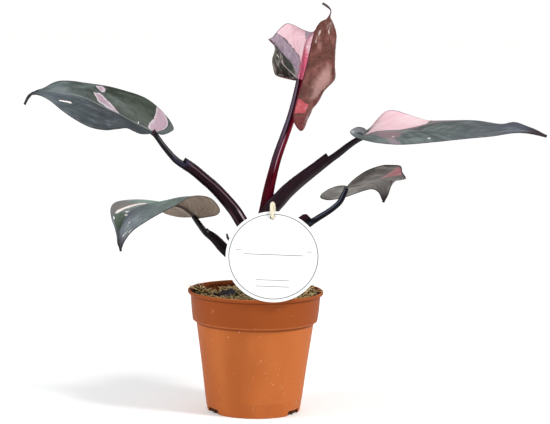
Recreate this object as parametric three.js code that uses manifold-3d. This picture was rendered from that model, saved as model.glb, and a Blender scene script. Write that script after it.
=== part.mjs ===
// Pink princess philodendron in a 12 cm nursery pot, millimetres, +Z up, pot bottom centre at the origin.
import * as THREE from 'three';
import Module from 'manifold-3d';

const wasm = await Module();
wasm.setup();
const { Manifold, Mesh } = wasm;

// ---- sizes ----
const GAP = 0.3;                // free space between touching pieces
const POT_HEIGHT = 109.8;
const LIP_RADIUS = 61.2;
const BASE_RADIUS = 42.1;
const WALL = 1.4;
const FLOOR = 1.8;
const NOTCH_WIDTH = 20;         // drainage notch at the foot of the wall, with a small rib in its middle
const NOTCH_HEIGHT = 4.6;
const NOTCH_RIB = 1.8;
const NOTCH_ANGLES = [-30, -150, 90];
const SOIL_LEVEL = 102.5;
const BLADE = 0.8;              // leaf blade thickness
const RIB = 1.3;                // how far the midrib stands out below the blade at its foot
const TAG_RADIUS = 42;
const TAG_THICKNESS = 0.8;
const TAG_LEAN = 26;            // degrees back from upright
const TAG_CENTRE = [15.5, -43.7, 146.3];
const TAG_HOLE_RADIUS = 2.4;
const TAG_HOLE_UP = 36.5;       // hole centre above the tag centre
const TAG_HOLE_ACROSS = -1.3;   // and a little to the left of it
const CORD_RADIUS = 1.6;

// ---- small helpers ----
const group = new THREE.Group();
const vec = (p) => new THREE.Vector3(p[0], p[1], p[2]);
const lerp = (a, b, t) => a + (b - a) * t;
const clamp = (v, lo, hi) => Math.min(hi, Math.max(lo, v));

// value of a piecewise straight table [[at, value...], ...] at t
function tableAt(rows, t) {
  let i = 0;
  while (i < rows.length - 2 && t > rows[i + 1][0]) i += 1;
  const [a, b] = [rows[i], rows[i + 1]];
  const k = clamp((t - a[0]) / (b[0] - a[0]), 0, 1);
  return a.slice(1).map((v, j) => lerp(v, b[j + 1], k));
}

function curveThrough(points) {
  const curve = new THREE.CatmullRomCurve3(points.map(vec), false, 'catmullrom', 0.5);
  curve.arcLengthDivisions = 400;
  return curve;
}

function solidFrom(points, triangles) {
  const vertProperties = new Float32Array(points.length * 3);
  points.forEach((p, i) => vertProperties.set([p.x, p.y, p.z], i * 3));
  const mesh = new Mesh({ numProp: 3, vertProperties, triVerts: new Uint32Array(triangles.flat()) });
  mesh.merge();
  return new Manifold(mesh);
}

// the largest body left after a cut
function largest(solid) {
  const bodies = solid.decompose();
  bodies.sort((a, b) => b.volume() - a.volume());
  return bodies[0];
}

function add(name, solid, color) {
  const mesh = solid.getMesh();
  const geometry = new THREE.BufferGeometry();
  const positions = new Float32Array(mesh.numVert * 3);
  for (let i = 0; i < mesh.numVert; i += 1) {
    for (let k = 0; k < 3; k += 1) positions[i * 3 + k] = mesh.vertProperties[i * mesh.numProp + k];
  }
  geometry.setAttribute('position', new THREE.BufferAttribute(positions, 3));
  geometry.setIndex(new THREE.BufferAttribute(new Uint32Array(mesh.triVerts), 1));
  const node = new THREE.Mesh(geometry, new THREE.MeshStandardMaterial({ color }));
  node.name = name;
  group.add(node);
}

// solid of revolution about Z from a profile of [radius, z] that starts and ends on the axis
function revolve(profile, segments) {
  const points = [];
  const triangles = [];
  const rings = profile.map(([r, z]) => {
    const first = points.length;
    const count = r === 0 ? 1 : segments;
    for (let i = 0; i < count; i += 1) {
      const a = (i / segments) * 2 * Math.PI;
      points.push(new THREE.Vector3(r * Math.cos(a), r * Math.sin(a), z));
    }
    return { first, count };
  });
  for (let k = 0; k < rings.length - 1; k += 1) {
    const [p, q] = [rings[k], rings[k + 1]];
    for (let i = 0; i < segments; i += 1) {
      const j = (i + 1) % segments;
      const [a, b] = [p.first + (p.count > 1 ? i : 0), p.first + (p.count > 1 ? j : 0)];
      const [c, d] = [q.first + (q.count > 1 ? j : 0), q.first + (q.count > 1 ? i : 0)];
      if (p.count > 1) triangles.push([a, b, c]);
      if (q.count > 1) triangles.push([a, c, d]);
    }
  }
  return solidFrom(points, triangles);
}

// closed sweep: one ring of section points [across, up] per station, flat ends
function sweep(curve, stations, face, sectionAt) {
  const points = [];
  const triangles = [];
  let count = 0;
  const normal = vec(face);
  stations.forEach((u) => {
    const centre = curve.getPointAt(u);
    const along = curve.getTangentAt(u);
    const up = normal.clone().addScaledVector(along, -normal.dot(along)).normalize();
    const across = new THREE.Vector3().crossVectors(up, along);
    const section = sectionAt(u);
    count = section.length;
    section.forEach(([x, y]) => {
      points.push(centre.clone().addScaledVector(across, x).addScaledVector(up, y));
    });
  });
  for (let s = 0; s < stations.length - 1; s += 1) {
    for (let i = 0; i < count; i += 1) {
      const j = (i + 1) % count;
      const [a, b] = [s * count + i, s * count + j];
      triangles.push([a, b, b + count], [a, b + count, a + count]);
    }
  }
  const cap = (u) => THREE.ShapeUtils.triangulateShape(sectionAt(u).map((p) => new THREE.Vector2(...p)), []);
  const last = (stations.length - 1) * count;
  cap(stations[0]).forEach(([a, b, c]) => triangles.push([a, c, b]));
  cap(stations[stations.length - 1]).forEach(([a, b, c]) => triangles.push([last + a, last + b, last + c]));
  return solidFrom(points, triangles);
}

const evenly = (n) => Array.from({ length: n + 1 }, (_, i) => i / n);

function tube(points, radii, sides, steps) {
  const ring = (r) => evenly(sides).slice(0, sides).map((k) => {
    const a = k * 2 * Math.PI;
    return [r * Math.cos(a), r * Math.sin(a)];
  });
  return sweep(curveThrough(points), evenly(steps), [0.1, -1, 0.1], (u) => ring(tableAt(radii, u)[0]));
}

// ---- pot ----
const potProfile = [
  [0, 0], [BASE_RADIUS - 1, 0], [BASE_RADIUS, 1], [53.1, 80.6], [53.6, 81.8], [55.9, 82.5],
  [56.5, 83.5], [57.5, 91], [58.6, 104.6], [58.9, 106.4], [LIP_RADIUS - 0.5, 106.8], [LIP_RADIUS, 107.3],
  [LIP_RADIUS, POT_HEIGHT - 0.6], [LIP_RADIUS - 0.6, POT_HEIGHT], [LIP_RADIUS - 1.5, POT_HEIGHT],
  [LIP_RADIUS - 2.1, POT_HEIGHT - 0.6], [57.6, 107], [57.1, 104.4], [56.0, 91], [55.0, 85.6], [52.2, 82],
  [53 - WALL, 79.5],
  [BASE_RADIUS - WALL + 0.2, FLOOR + 0.7], [BASE_RADIUS - WALL - 0.6, FLOOR], [0, FLOOR],
];
let pot = revolve(potProfile, 48);
NOTCH_ANGLES.forEach((angle) => {
  const rib = Manifold.cube([6, NOTCH_RIB, NOTCH_HEIGHT + 3], true)
    .translate([BASE_RADIUS - 4.6, 0, NOTCH_HEIGHT / 2]);
  const notch = Manifold.cube([9, NOTCH_WIDTH, NOTCH_HEIGHT + 1], true)
    .translate([BASE_RADIUS + 1.4, 0, (NOTCH_HEIGHT - 1) / 2])
    .subtract(rib)
    .rotate([0, 0, angle]);
  pot = pot.subtract(notch);
});
add('pot', pot, 0xb4552e);

// ---- stem ----
const stemPath = [
  [-1.5, -4, 90], [-1, -4, 108], [0, -4, 122], [1.5, -4, 136], [2.5, -3.5, 150], [3.5, -3, 163.5],
];
const stemRadii = [
  [0, 6.4], [0.3, 6.8], [0.33, 7.3], [0.36, 6.8], [0.55, 6.5], [0.58, 7.0], [0.61, 6.5],
  [0.8, 6.2], [1, 5.6],
];
const stemSolid = (extra) => tube(
  stemPath.map(([x, y, z], i) => [x, y, i === 5 ? z + extra : z]),
  stemRadii.map(([u, r]) => [u, r + extra]),
  14,
  14,
);
const stem = stemSolid(0);
const stemRoom = stemSolid(GAP + 0.05);

// ---- soil: fills the pot, with a crumbly top ----
function soilTop(x, y) {
  const r = Math.hypot(x, y);
  const crumbs = 1.1 * Math.sin(0.31 * x + 1.3) * Math.cos(0.27 * y - 0.4)
    + 0.9 * Math.sin(0.53 * y + 0.21 * x + 2.1) + 0.6 * Math.sin(0.83 * x - 0.61 * y + 0.7);
  const banked = 3.2 * Math.pow(Math.abs(x) / 56, 3);
  const heaped = 2.5 * Math.exp(-(r * r) / 500);
  const tuft = 3.2 * Math.exp(-((x + 55) ** 2 + (y + 4) ** 2) / 130);
  const hollow = 4.2 * Math.exp(-((x + 42) ** 2 + (y - 30) ** 2) / 320);
  return SOIL_LEVEL + crumbs + banked + heaped + tuft - hollow;
}
function soilSolid() {
  const segments = 36;
  const sideRadius = (z) => tableAt([
    [FLOOR, 40.2], [79.5, 51.2], [82, 51.8], [85.6, 54.5], [91, 55.5], [104.4, 56.6], [109, 56.8],
  ], z)[0];
  const levels = [FLOOR + GAP, 30, 60, 79.5, 82.2, 85.8, 92, 98];
  const points = [new THREE.Vector3(0, 0, levels[0])];
  const rings = [];
  const ring = (radius, z) => {
    rings.push(points.length);
    for (let i = 0; i < segments; i += 1) {
      const a = (i / segments) * 2 * Math.PI;
      const [x, y] = [radius * Math.cos(a), radius * Math.sin(a)];
      points.push(new THREE.Vector3(x, y, z === null ? soilTop(x, y) : z));
    }
  };
  levels.forEach((z) => ring(sideRadius(z) - GAP, z));
  [55.9, 50, 43, 35.5, 28, 20.5, 13].forEach((r) => ring(r, null));
  points.push(new THREE.Vector3(0, 0, soilTop(0, 0)));
  const triangles = [];
  const next = (first, i) => first + ((i + 1) % segments);
  for (let i = 0; i < segments; i += 1) triangles.push([0, next(rings[0], i), rings[0] + i]);
  for (let k = 0; k < rings.length - 1; k += 1) {
    for (let i = 0; i < segments; i += 1) {
      const [a, b] = [rings[k] + i, next(rings[k], i)];
      const [c, d] = [next(rings[k + 1], i), rings[k + 1] + i];
      triangles.push([a, b, c], [a, c, d]);
    }
  }
  const top = rings[rings.length - 1];
  for (let i = 0; i < segments; i += 1) triangles.push([top + i, next(top, i), points.length - 1]);
  return solidFrom(points, triangles);
}

// a flat flake of bark lying tilted on the soil
function barkSolid(extra) {
  const outline = [[-8.4, -2.4], [-2.5, -4], [5, -3.4], [8.8, -0.6], [6.2, 3.1], [-1.3, 4], [-7, 2.2]];
  const shape = outline.map(([x, y]) => [x * (1 + extra / 6), y * (1 + extra / 3)]);
  return Manifold.extrude([shape], 2.6 + 2 * extra, 0, 0, [0.8, 0.75])
    .translate([0, 0, -extra])
    .rotate([38, -8, 12])
    .translate([-25, 8, 103.8]);
}
add('soil', largest(soilSolid().subtract(stemRoom).subtract(barkSolid(GAP))), 0x3a2c22);
add('bark_flake', barkSolid(0), 0x4a4c52);
add('main_stem', stem, 0x3c2a24);

// ---- leaves ----
// mid: midrib from the petiole to the tip
// edge: margin of each half, from the notch round the lobe to the tip
// fan: share of the margin that spreads from the petiole end
// bulge: how the half arches off a straight line
const leaves = {
  leaf_1: {
    color: 0x5b6a62,
    mid: [[-91.5, -12, 250.5], [-109, -21, 259.5], [-123.5, -29, 268], [-139.5, -38, 276], [-154, -47, 283],
      [-170.5, -57, 286.5], [-185.5, -66, 287.5], [-195, -71, 285.5], [-199.5, -73, 277]],
    left: {
      edge: [[-91.5, -12, 250.5], [-97, -16, 250], [-103, -28, 250.5], [-108, -42, 253.5],
        [-113.5, -53, 257],
        [-122, -61, 256.5], [-131, -68, 256], [-142, -76, 258.5], [-153.5, -82, 264.5], [-166, -84, 273],
        [-177.5, -81, 281.5], [-188.5, -74, 285.5], [-195, -72, 284], [-199.5, -73, 277]],
      fan: 0.2,
      bulge: [[0, 0], [0.12, 0], [0.2, -1], [0.35, 2], [0.55, 3], [1, 0]],
    },
    right: {
      edge: [[-91.5, -12, 250.5], [-85.5, -4, 248.5], [-78.5, 4, 251], [-76.5, 9, 254], [-82, 14, 262.5],
        [-92.5, 12, 273.5], [-104.5, 4, 282], [-122, -5, 288], [-135, -13, 291.5], [-149.5, -23, 294],
        [-165.5, -38, 296.5], [-175.5, -50, 296], [-184.5, -62, 291], [-192, -70, 287.5],
        [-199.5, -73, 277]],
      fan: 0.28,
      bulge: [[0, 0], [0.15, 0], [0.3, 2], [0.5, 3], [1, 0]],
    },
  },
  leaf_2: {
    color: 0x7c8278,
    mid: [[-54.5, -4, 173.5], [-62.5, -8, 181], [-71, -13, 186], [-86, -22, 188.5], [-103, -33, 187],
      [-115.5, -41, 181], [-120, -46, 170], [-119.5, -49, 159], [-118, -50, 149]],
    left: {
      edge: [[-54.5, -4, 173.5], [-45.5, -8, 175.5], [-35.5, -14, 178.5], [-33, -19, 184.5],
        [-40, -28, 194.5],
        [-51, -36, 198], [-61, -43, 196], [-69, -50, 191], [-82, -55, 184.5], [-95.5, -58, 176.5],
        [-107, -57, 168], [-114.5, -53, 158], [-118, -50, 149]],
      fan: 0.33,
      bulge: [[0, 0], [0.25, 2], [0.5, 4], [0.8, 3], [1, 0]],
    },
    right: {
      edge: [[-54.5, -4, 173.5], [-57.5, 2, 175], [-63.5, 10, 173], [-72, 17, 172.5], [-83.5, 22, 174.5],
        [-92.5, 23, 179.5], [-104, 18, 184], [-116.5, 6, 187.5], [-126, -9, 188], [-129.5, -24, 184],
        [-127.5, -36, 175.5], [-122.5, -45, 165], [-120, -50, 154.5], [-118, -50, 149]],
      fan: 0.2,
      bulge: [[0, 0], [0.25, 4], [0.45, 2], [0.8, 3], [1, 0]],
    },
  },
  leaf_3: {
    color: 0x6b7470,
    mid: [[92, 5, 249], [104.5, 4, 253.5], [126.5, 2, 256], [153.5, 0, 256], [176.5, -3, 254],
      [206.5, -7, 256], [232.5, -11, 259], [256, -14, 254.5]],
    left: {
      edge: [[92, 5, 249], [89.5, 14, 250.5], [93, 28, 253], [100.5, 36, 255], [107.5, 39, 263],
        [116, 41, 271],
        [126, 42, 271.5], [141, 42, 267], [155, 41, 263.5], [172, 37, 264], [197, 28, 265],
        [218.5, 16, 263], [230, 6, 265.5], [242, -5, 261.5], [256, -14, 254.5]],
      fan: 0.27,
      bulge: [[0, 0], [0.15, -2], [0.3, -3], [0.6, 3], [1, 0]],
    },
    right: {
      edge: [[92, 5, 249], [96.5, 4, 256], [89, -3, 259], [81.5, -11, 255.5], [84.5, -20, 251.5],
        [93, -28, 249], [107, -35, 247], [127.5, -39, 246.5], [156, -40, 249.5],
        [182.5, -36, 252.5], [206.5, -27, 254.5], [224.5, -20, 257], [240.5, -16, 257], [256, -14, 254.5]],
      fan: 0.27,
      bulge: [[0, 0], [0.1, 1], [0.2, 3], [0.5, 4], [0.8, 1], [1, 0]],
    },
  },
  leaf_4: {
    color: 0x857b74,
    mid: [[80.5, 2, 205], [91, 18, 205], [102, 36, 207], [112, 52, 208], [120, 66, 207.5], [124.5, 76, 202],
      [123, 83, 192.5], [118.5, 86, 182.5]],
    left: {
      edge: [[80.5, 2, 205], [75, -2, 205.5], [66, -3, 203.5], [58.5, 0, 198.5], [57, 8, 193.5],
        [64, 18, 190.5], [72.5, 28, 190.5], [81, 38, 191.5], [91, 49, 194], [100.5, 60, 196],
        [107.5, 70, 196], [114, 79, 191.5], [118.5, 86, 182.5]],
      fan: 0.3,
      bulge: [[0, 0], [0.3, 3], [0.6, 3], [1, 0]],
    },
    right: {
      edge: [[80.5, 2, 205], [83, -4, 209], [89.5, -6, 215], [98.5, -3, 220.5], [111.5, 8, 224],
        [122.5, 21, 223.5], [130.5, 34, 221.5], [133, 45, 215], [137.5, 62, 207.5],
        [130, 75, 204.5], [125, 82, 199.5], [121.5, 85, 192.5], [118.5, 86, 182.5]],
      fan: 0.27,
      bulge: [[0, 0], [0.25, -3], [0.5, -3], [1, 0]],
    },
  },
  leaf_5: {
    color: 0xb07d7a,
    mid: [[35.5, 8, 298.5], [37.5, 10, 310], [38.5, 11, 321.5], [41, 11, 333.5], [47, 8, 342.5],
      [54.5, 4, 350], [60.5, 0, 356.5], [62, -2, 361.5], [58.5, -3, 365.5], [54.5, -3, 368]],
    left: {
      edge: [[35.5, 8, 298.5], [30, 6, 300.5], [22, 3, 302], [14.5, 1, 303.5], [12, 2, 310], [11, 6, 317.5],
        [13.2, 10, 326.5], [10.4, 11.8, 333.4], [6.9, 12.4, 335.1], [10.8, 12, 337], [15.5, 11.8, 343],
        [20.6, 11.2, 348], [24, 11.5, 349.6], [29, 12, 348.6], [39, 13, 344], [47, 13, 342.5],
        [53.5, 9, 347.5],
        [58, 4, 353.5], [60.5, 0, 357.5], [62, -2, 361.5], [58.5, -3, 365.5], [54.5, -3, 368]],
      fan: 0.28,
      bulge: [[0, 0], [0.2, -5], [0.5, -3], [1, 0]],
    },
    right: {
      edge: [[35.5, 8, 298.5], [45, 13, 290], [48.5, 14, 276], [43.5, 9, 263], [38.5, 1, 254],
        [32.5, -6, 260],
        [30.5, -9, 268.5], [33.5, -12, 283], [37, -15, 296.5], [41, -16, 312.5], [44, -15, 327],
        [47.5, -12, 342], [52.5, -7, 351], [60.5, -1, 355.5], [62, -2, 361.5], [58.5, -3, 365.5],
        [54.5, -3, 368]],
      fan: 0.42,
      bulge: [[0, 0, 0, 0], [0.14, 1, 0, 0], [0.24, 4, 0, -2], [0.32, 8, -1, -4], [0.39, 16, -2, -5],
        [0.42, 20.5, -3, -3], [0.45, 22, -3, -1], [0.48, 23.7, -3, 0], [0.51, 27.4, -3, 0],
        [0.54, 31, -3, 0],
        [0.62, 27.3, -3, 0], [0.7, 25.2, -3, 0], [0.76, 23.2, -2, 1], [0.79, 20.5, -2, 2],
        [0.84, 13, -2, 3], [0.88, 6, -1, 2], [0.92, 0, 0, 0], [1, 0, 0, 0]],
      round: 0.8,
    },
  },
};

const BODY_ROWS = 18;
const FAN_ROWS = 6;
const ACROSS = [0.07, 0.3, 0.55, 0.78, 1];
const LEAST_HALF = 0.8;

// one half of a leaf as rows of points from the midrib to the margin
function halfLeaf(leaf, side) {
  const mid = curveThrough(leaf.mid);
  const half = leaf[side];
  const margin = curveThrough(half.edge);
  const pace = (margin.getLength() * (1 - half.fan)) / mid.getLength();
  const sign = side === 'left' ? 1 : -1;
  const rows = [];
  for (let i = 1; i <= FAN_ROWS; i += 1) rows.push([0, half.fan * Math.pow(i / FAN_ROWS, 0.8)]);
  for (let i = 1; i <= BODY_ROWS; i += 1) {
    rows.push([i / BODY_ROWS, half.fan + (1 - half.fan) * Math.pow(i / BODY_ROWS, 1 / pace)]);
  }
  let before = null;
  return rows.map(([u, t]) => {
    const foot = mid.getPointAt(u);
    const along = mid.getTangentAt(u);
    let chord = margin.getPointAt(t).sub(foot);
    if (chord.length() < LEAST_HALF && before) {
      chord = before.clone().addScaledVector(along, -before.dot(along)).setLength(LEAST_HALF);
    }
    before = chord.clone();
    const bulge = tableAt(half.bulge, t);
    const lift = bulge.length === 3
      ? vec(bulge)
      : new THREE.Vector3().crossVectors(along, chord).setLength(sign * bulge[0] || 0);
    return {
      foot,
      points: ACROSS.map((s) => foot.clone()
        .addScaledVector(chord, s)
        .addScaledVector(lift, Math.pow(Math.sin(Math.PI * s), half.round || 1))),
    };
  });
}

function leafSolid(leaf, thickness) {
  const points = [];
  const triangles = [];
  const put = (p) => points.push(p) - 1;
  const left = halfLeaf(leaf, 'left');
  const right = halfLeaf(leaf, 'right');
  const root = put(left[0].foot);
  const ribs = left.map((row, i) => (i < FAN_ROWS ? root : put(row.foot)));
  [[left, true], [right, false]].forEach(([rows, forward]) => {
    const grid = rows.map((row, i) => [ribs[i], ...row.points.map(put)]);
    for (let i = 0; i < grid.length - 1; i += 1) {
      for (let k = 0; k < ACROSS.length; k += 1) {
        const [a, b, c, d] = [grid[i][k], grid[i + 1][k], grid[i + 1][k + 1], grid[i][k + 1]];
        const faces = a === b ? [[a, c, d]] : [[a, b, c], [a, c, d]];
        faces.forEach(([p, q, r]) => triangles.push(forward ? [p, q, r] : [p, r, q]));
      }
    }
  });
  const normals = points.map(() => new THREE.Vector3());
  triangles.forEach(([a, b, c]) => {
    const n = new THREE.Vector3()
      .crossVectors(points[b].clone().sub(points[a]), points[c].clone().sub(points[a]));
    [a, b, c].forEach((i) => normals[i].add(n));
  });
  normals.forEach((n) => n.normalize());
  const ribDepth = new Map([[root, RIB]]);
  ribs.forEach((index, i) => {
    if (index !== root) ribDepth.set(index, RIB * (1 - 0.9 * ((i - FAN_ROWS + 1) / BODY_ROWS)));
  });
  const count = points.length;
  const upper = points.map((p, i) => p.clone().addScaledVector(normals[i], thickness / 2));
  const lower = points.map((p, i) => p.clone()
    .addScaledVector(normals[i], -thickness / 2 - (ribDepth.get(i) || 0)));
  const faces = [...triangles, ...triangles.map(([a, b, c]) => [a + count, c + count, b + count])];
  const edges = new Set();
  triangles.forEach(([a, b, c]) => [[a, b], [b, c], [c, a]].forEach(([p, q]) => edges.add(`${p},${q}`)));
  triangles.forEach(([a, b, c]) => [[a, b], [b, c], [c, a]].forEach(([p, q]) => {
    if (!edges.has(`${q},${p}`)) faces.push([q, p, p + count], [q, p + count, q + count]);
  }));
  return solidFrom([...upper, ...lower], faces);
}

const leafRooms = {};
Object.entries(leaves).forEach(([name, leaf]) => {
  add(name, leafSolid(leaf, BLADE), leaf.color);
  leafRooms[name] = leafSolid(leaf, BLADE + 2 * GAP + 0.1);
});

// ---- petioles: round and grooved at the blade, opening into a winged sheath towards the stem ----
// path runs from the stem to the blade
// size rows are [along, body radius, height of the wings above the middle]
const petioles = {
  petiole_1: {
    face: [0.68, 0, 0.73],
    path: [[-3, -3, 153], [-9, -4, 161], [-15.5, -5, 171.5], [-21.5, -6, 181], [-31, -7, 192.5],
      [-40, -8, 202], [-49, -9, 209.8], [-58.5, -10, 217.6], [-67.4, -10, 223], [-72.6, -11, 226.6], [-77.6, -11, 231.6],
      [-84.6, -12, 240], [-89, -12, 246], [-91, -12, 249.5]],
    size: [[0, 4.4, 5], [0.1, 4.2, 7.4], [0.3, 4, 6.7], [0.5, 3.7, 5.9], [0.645, 3.6, 5.8],
      [0.69, 3.5, 6.2], [0.704, 3.4, 2.9], [0.78, 3, 2.5], [0.86, 2.7, 2.2], [1, 2.5, 1.9]],
  },
  petiole_2: {
    face: [0.66, 0, 0.75],
    path: [[-4, -4, 125.5], [-13.5, -5, 132.5], [-25.3, -5, 142.1], [-31.6, -5, 147.8],
      [-38.3, -5, 155.4], [-45, -5, 161.2], [-48.7, -5, 165.2], [-52.6, -5, 170.3], [-54.2, -4.2, 172.9]],
    size: [[0, 4.4, 4.4], [0.15, 4, 7], [0.35, 3.7, 6.4], [0.55, 3.4, 5.4], [0.68, 3.2, 4.2],
      [0.76, 3.1, 3.4], [0.775, 2.9, 2.4], [0.88, 2.6, 2.2], [1, 2.4, 1.9]],
  },
  petiole_3: {
    face: [-0.62, 0, 0.78],
    path: [[3, -1, 167.5], [9, -1, 177.5], [15.3, -1.5, 186], [21.5, -2, 192.3], [27, -2, 198.2],
      [36, -1, 206],
      [45, 0, 213.5], [54, 1, 220.8], [62.5, 2, 227.5], [71.5, 3, 234], [80.5, 4, 241.3], [87.5, 5, 246.2],
      [91, 5, 248.3]],
    size: [[0, 7.2, 4.6], [0.07, 7.2, 7], [0.15, 6.8, 7.7], [0.27, 5.5, 7.4], [0.42, 4.4, 7.3],
      [0.6, 4, 6.2], [0.695, 3.7, 6.2], [0.71, 3.5, 2.9], [0.82, 3.2, 2.7], [1, 2.7, 2.1]],
  },
  petiole_4: {
    face: [-0.5, 0, 0.86],
    path: [[7, -2, 148], [25.5, -1, 157.5], [39, 0, 165.5], [48, 0, 171.5], [56.5, 1, 177], [65.5, 1, 183],
      [73.5, 1, 190], [77.5, 2, 197], [80, 2, 203.4]],
    size: [[0, 4.4, 4.4], [0.12, 4.2, 8.5], [0.3, 3.9, 8.6], [0.49, 3.4, 9.4], [0.52, 3.2, 8],
      [0.535, 3, 2.5], [0.75, 2.7, 2.2], [0.9, 2.6, 2.3], [1, 2.3, 1.9]],
  },
  petiole_5: {
    face: [-0.8, -0.6, 0.1],
    path: [[4, -3, 163.9], [5.8, -2, 175.5], [8, -1, 187], [9.9, 1, 198.5], [12.5, 2, 211],
      [16.5, 4, 227.5],
      [20.1, 5, 239], [24.1, 6, 250.5], [28.8, 7, 265], [32, 7.5, 278], [34.1, 8, 288.5],
      [35.4, 7.8, 296.3]],
    size: [[0, 5.6, 4.4], [0.2, 5.2, 4.2], [0.4, 4.3, 3.6], [0.75, 3.8, 3.2], [0.9, 3.4, 2.8],
      [1, 2.9, 2.3]],
  },
};

// outline of the petiole: body below, two wings above, groove between them
function petioleSection(radius, wing, extra) {
  const r = radius + extra;
  const w = wing + extra;
  const open = clamp((wing / radius - 0.9) / 0.8, 0, 1);
  const tip = r * lerp(0.6, 0.9, open);
  const side = r * lerp(0.93, 0.98, open);
  const tipIn = lerp(0.4 * r, tip - 1.2 - 2 * extra, open);
  const sideIn = lerp(0.24 * r, side - 1.6 - 2 * extra, open);
  const level = lerp(w - 0.16 * r, 0.4 * w, open);
  const floor = lerp(w - 0.25 * r, 2 * extra - 0.2 * r, open);
  const rightOuter = [[0.77 * r, -0.64 * r], [r, 0], [side, 0.45 * w], [tip, w]];
  const rightInner = [[tipIn, w - 0.05], [sideIn, level]];
  const mirror = (list) => list.map(([x, y]) => [-x, y]).reverse();
  return [[0, -r], ...rightOuter, ...rightInner, [0, floor], ...mirror(rightInner), ...mirror(rightOuter)];
}

function petioleSolid({ face, path, size }, extra) {
  const marks = size.map((row) => row[0]).filter((u) => u > 0 && u < 1);
  const stations = [...new Set([...evenly(12), ...marks])].sort((a, b) => a - b);
  const clearOfMarks = (u) => marks.every((v) => v === u || Math.abs(v - u) > 0.012);
  const kept = stations.filter((u) => marks.includes(u) || clearOfMarks(u));
  return sweep(curveThrough(path), kept, face, (u) => petioleSection(...tableAt(size, u), extra));
}

const shoot = petioleSolid(petioles.petiole_5, GAP + 0.05);
const clasping = petioleSolid(petioles.petiole_3, GAP + 0.05);
const cutBy = {
  petiole_1: [stemRoom, shoot, clasping, leafRooms.leaf_1],
  petiole_2: [stemRoom, leafRooms.leaf_2],
  petiole_3: [stemRoom, shoot, leafRooms.leaf_3],
  petiole_4: [stemRoom, shoot, clasping, leafRooms.leaf_4],
  petiole_5: [stemRoom, leafRooms.leaf_5],
};
Object.entries(petioles).forEach(([name, petiole]) => {
  const solid = cutBy[name].reduce((body, cutter) => body.subtract(cutter), petioleSolid(petiole, 0));
  add(name, largest(solid), name === 'petiole_5' ? 0x6a1c26 : 0x2c1a1e);
});

// ---- dried bud scale at the stem ----
const budScale = tube(
  [
    [-1.5, -10.5, 131], [-6, -13, 138], [-14, -13.5, 146.5], [-21, -12.5, 153], [-25.2, -11.8, 157.2],
    [-26.7, -11, 161.6],
  ],
  [[0, 1.6], [0.5, 1.4], [0.93, 1.1], [1, 0.8]],
  8,
  10,
);
add('bud_scale', largest(budScale.subtract(stemRoom)), 0x241a18);

// ---- tag and its cord ----
const lean = (TAG_LEAN * Math.PI) / 180;
const tagUp = new THREE.Vector3(0, Math.sin(lean), Math.cos(lean));
const tagFront = new THREE.Vector3(0, -Math.cos(lean), Math.sin(lean));
const tagHole = Manifold.cylinder(4, TAG_HOLE_RADIUS, TAG_HOLE_RADIUS, 20, true)
  .translate([TAG_HOLE_ACROSS, TAG_HOLE_UP, 0]);
const tag = Manifold.cylinder(TAG_THICKNESS, TAG_RADIUS, TAG_RADIUS, 64, true)
  .subtract(tagHole)
  .rotate([90 - TAG_LEAN, 0, 0])
  .translate(TAG_CENTRE);
add('tag', tag, 0xf2f2f0);

// point beside the tag hole: across, up along the card, and out in front
const byHole = (x, up, out) => vec(TAG_CENTRE)
  .add(new THREE.Vector3(TAG_HOLE_ACROSS + x, 0, 0))
  .addScaledVector(tagUp, TAG_HOLE_UP + up)
  .addScaledVector(tagFront, out);
const cordPath = new THREE.CatmullRomCurve3([
  byHole(0, 0, 0), byHole(-0.4, 0.9, 2), byHole(-0.9, 4.5, 2.5), byHole(-1, 9, 1),
  byHole(-0.8, 13.2, -2.4), byHole(0.2, 14.4, -5), byHole(1, 11.5, -5.4), byHole(1, 6, -3.9),
  byHole(0.4, 1, -2.1),
], true, 'catmullrom', 0.5);
function ringTube(curve, radius, steps, sides) {
  const frames = curve.computeFrenetFrames(steps, true);
  const points = [];
  const triangles = [];
  for (let i = 0; i < steps; i += 1) {
    const centre = curve.getPointAt(i / steps);
    for (let k = 0; k < sides; k += 1) {
      const a = (k / sides) * 2 * Math.PI;
      points.push(centre.clone()
        .addScaledVector(frames.normals[i], radius * Math.cos(a))
        .addScaledVector(frames.binormals[i], radius * Math.sin(a)));
    }
  }
  for (let i = 0; i < steps; i += 1) {
    for (let k = 0; k < sides; k += 1) {
      const [j, m] = [(i + 1) % steps, (k + 1) % sides];
      const [a, b, c, d] = [i * sides + k, i * sides + m, j * sides + m, j * sides + k];
      triangles.push([a, b, c], [a, c, d]);
    }
  }
  return solidFrom(points, triangles);
}
add('tag_cord', ringTube(cordPath, CORD_RADIUS, 36, 8), 0xe9e0c8);

export default group;
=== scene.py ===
import math
import bmesh
import bpy
import numpy as np
from mathutils import Matrix, Vector


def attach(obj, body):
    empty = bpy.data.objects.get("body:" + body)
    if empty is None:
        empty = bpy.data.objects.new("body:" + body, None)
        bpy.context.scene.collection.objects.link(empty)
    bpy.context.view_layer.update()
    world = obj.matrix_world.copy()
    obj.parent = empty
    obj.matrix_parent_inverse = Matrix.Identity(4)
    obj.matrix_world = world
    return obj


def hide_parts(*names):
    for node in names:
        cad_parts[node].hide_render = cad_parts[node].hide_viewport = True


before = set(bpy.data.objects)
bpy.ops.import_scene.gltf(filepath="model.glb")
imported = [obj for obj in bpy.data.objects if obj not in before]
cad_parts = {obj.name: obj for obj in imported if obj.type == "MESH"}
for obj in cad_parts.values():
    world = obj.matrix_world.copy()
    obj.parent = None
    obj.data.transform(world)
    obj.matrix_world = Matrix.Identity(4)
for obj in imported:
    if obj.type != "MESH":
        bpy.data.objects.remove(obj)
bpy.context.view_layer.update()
mm = 0.001
scene = bpy.context.scene


# curves, tables and soft random values

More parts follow.
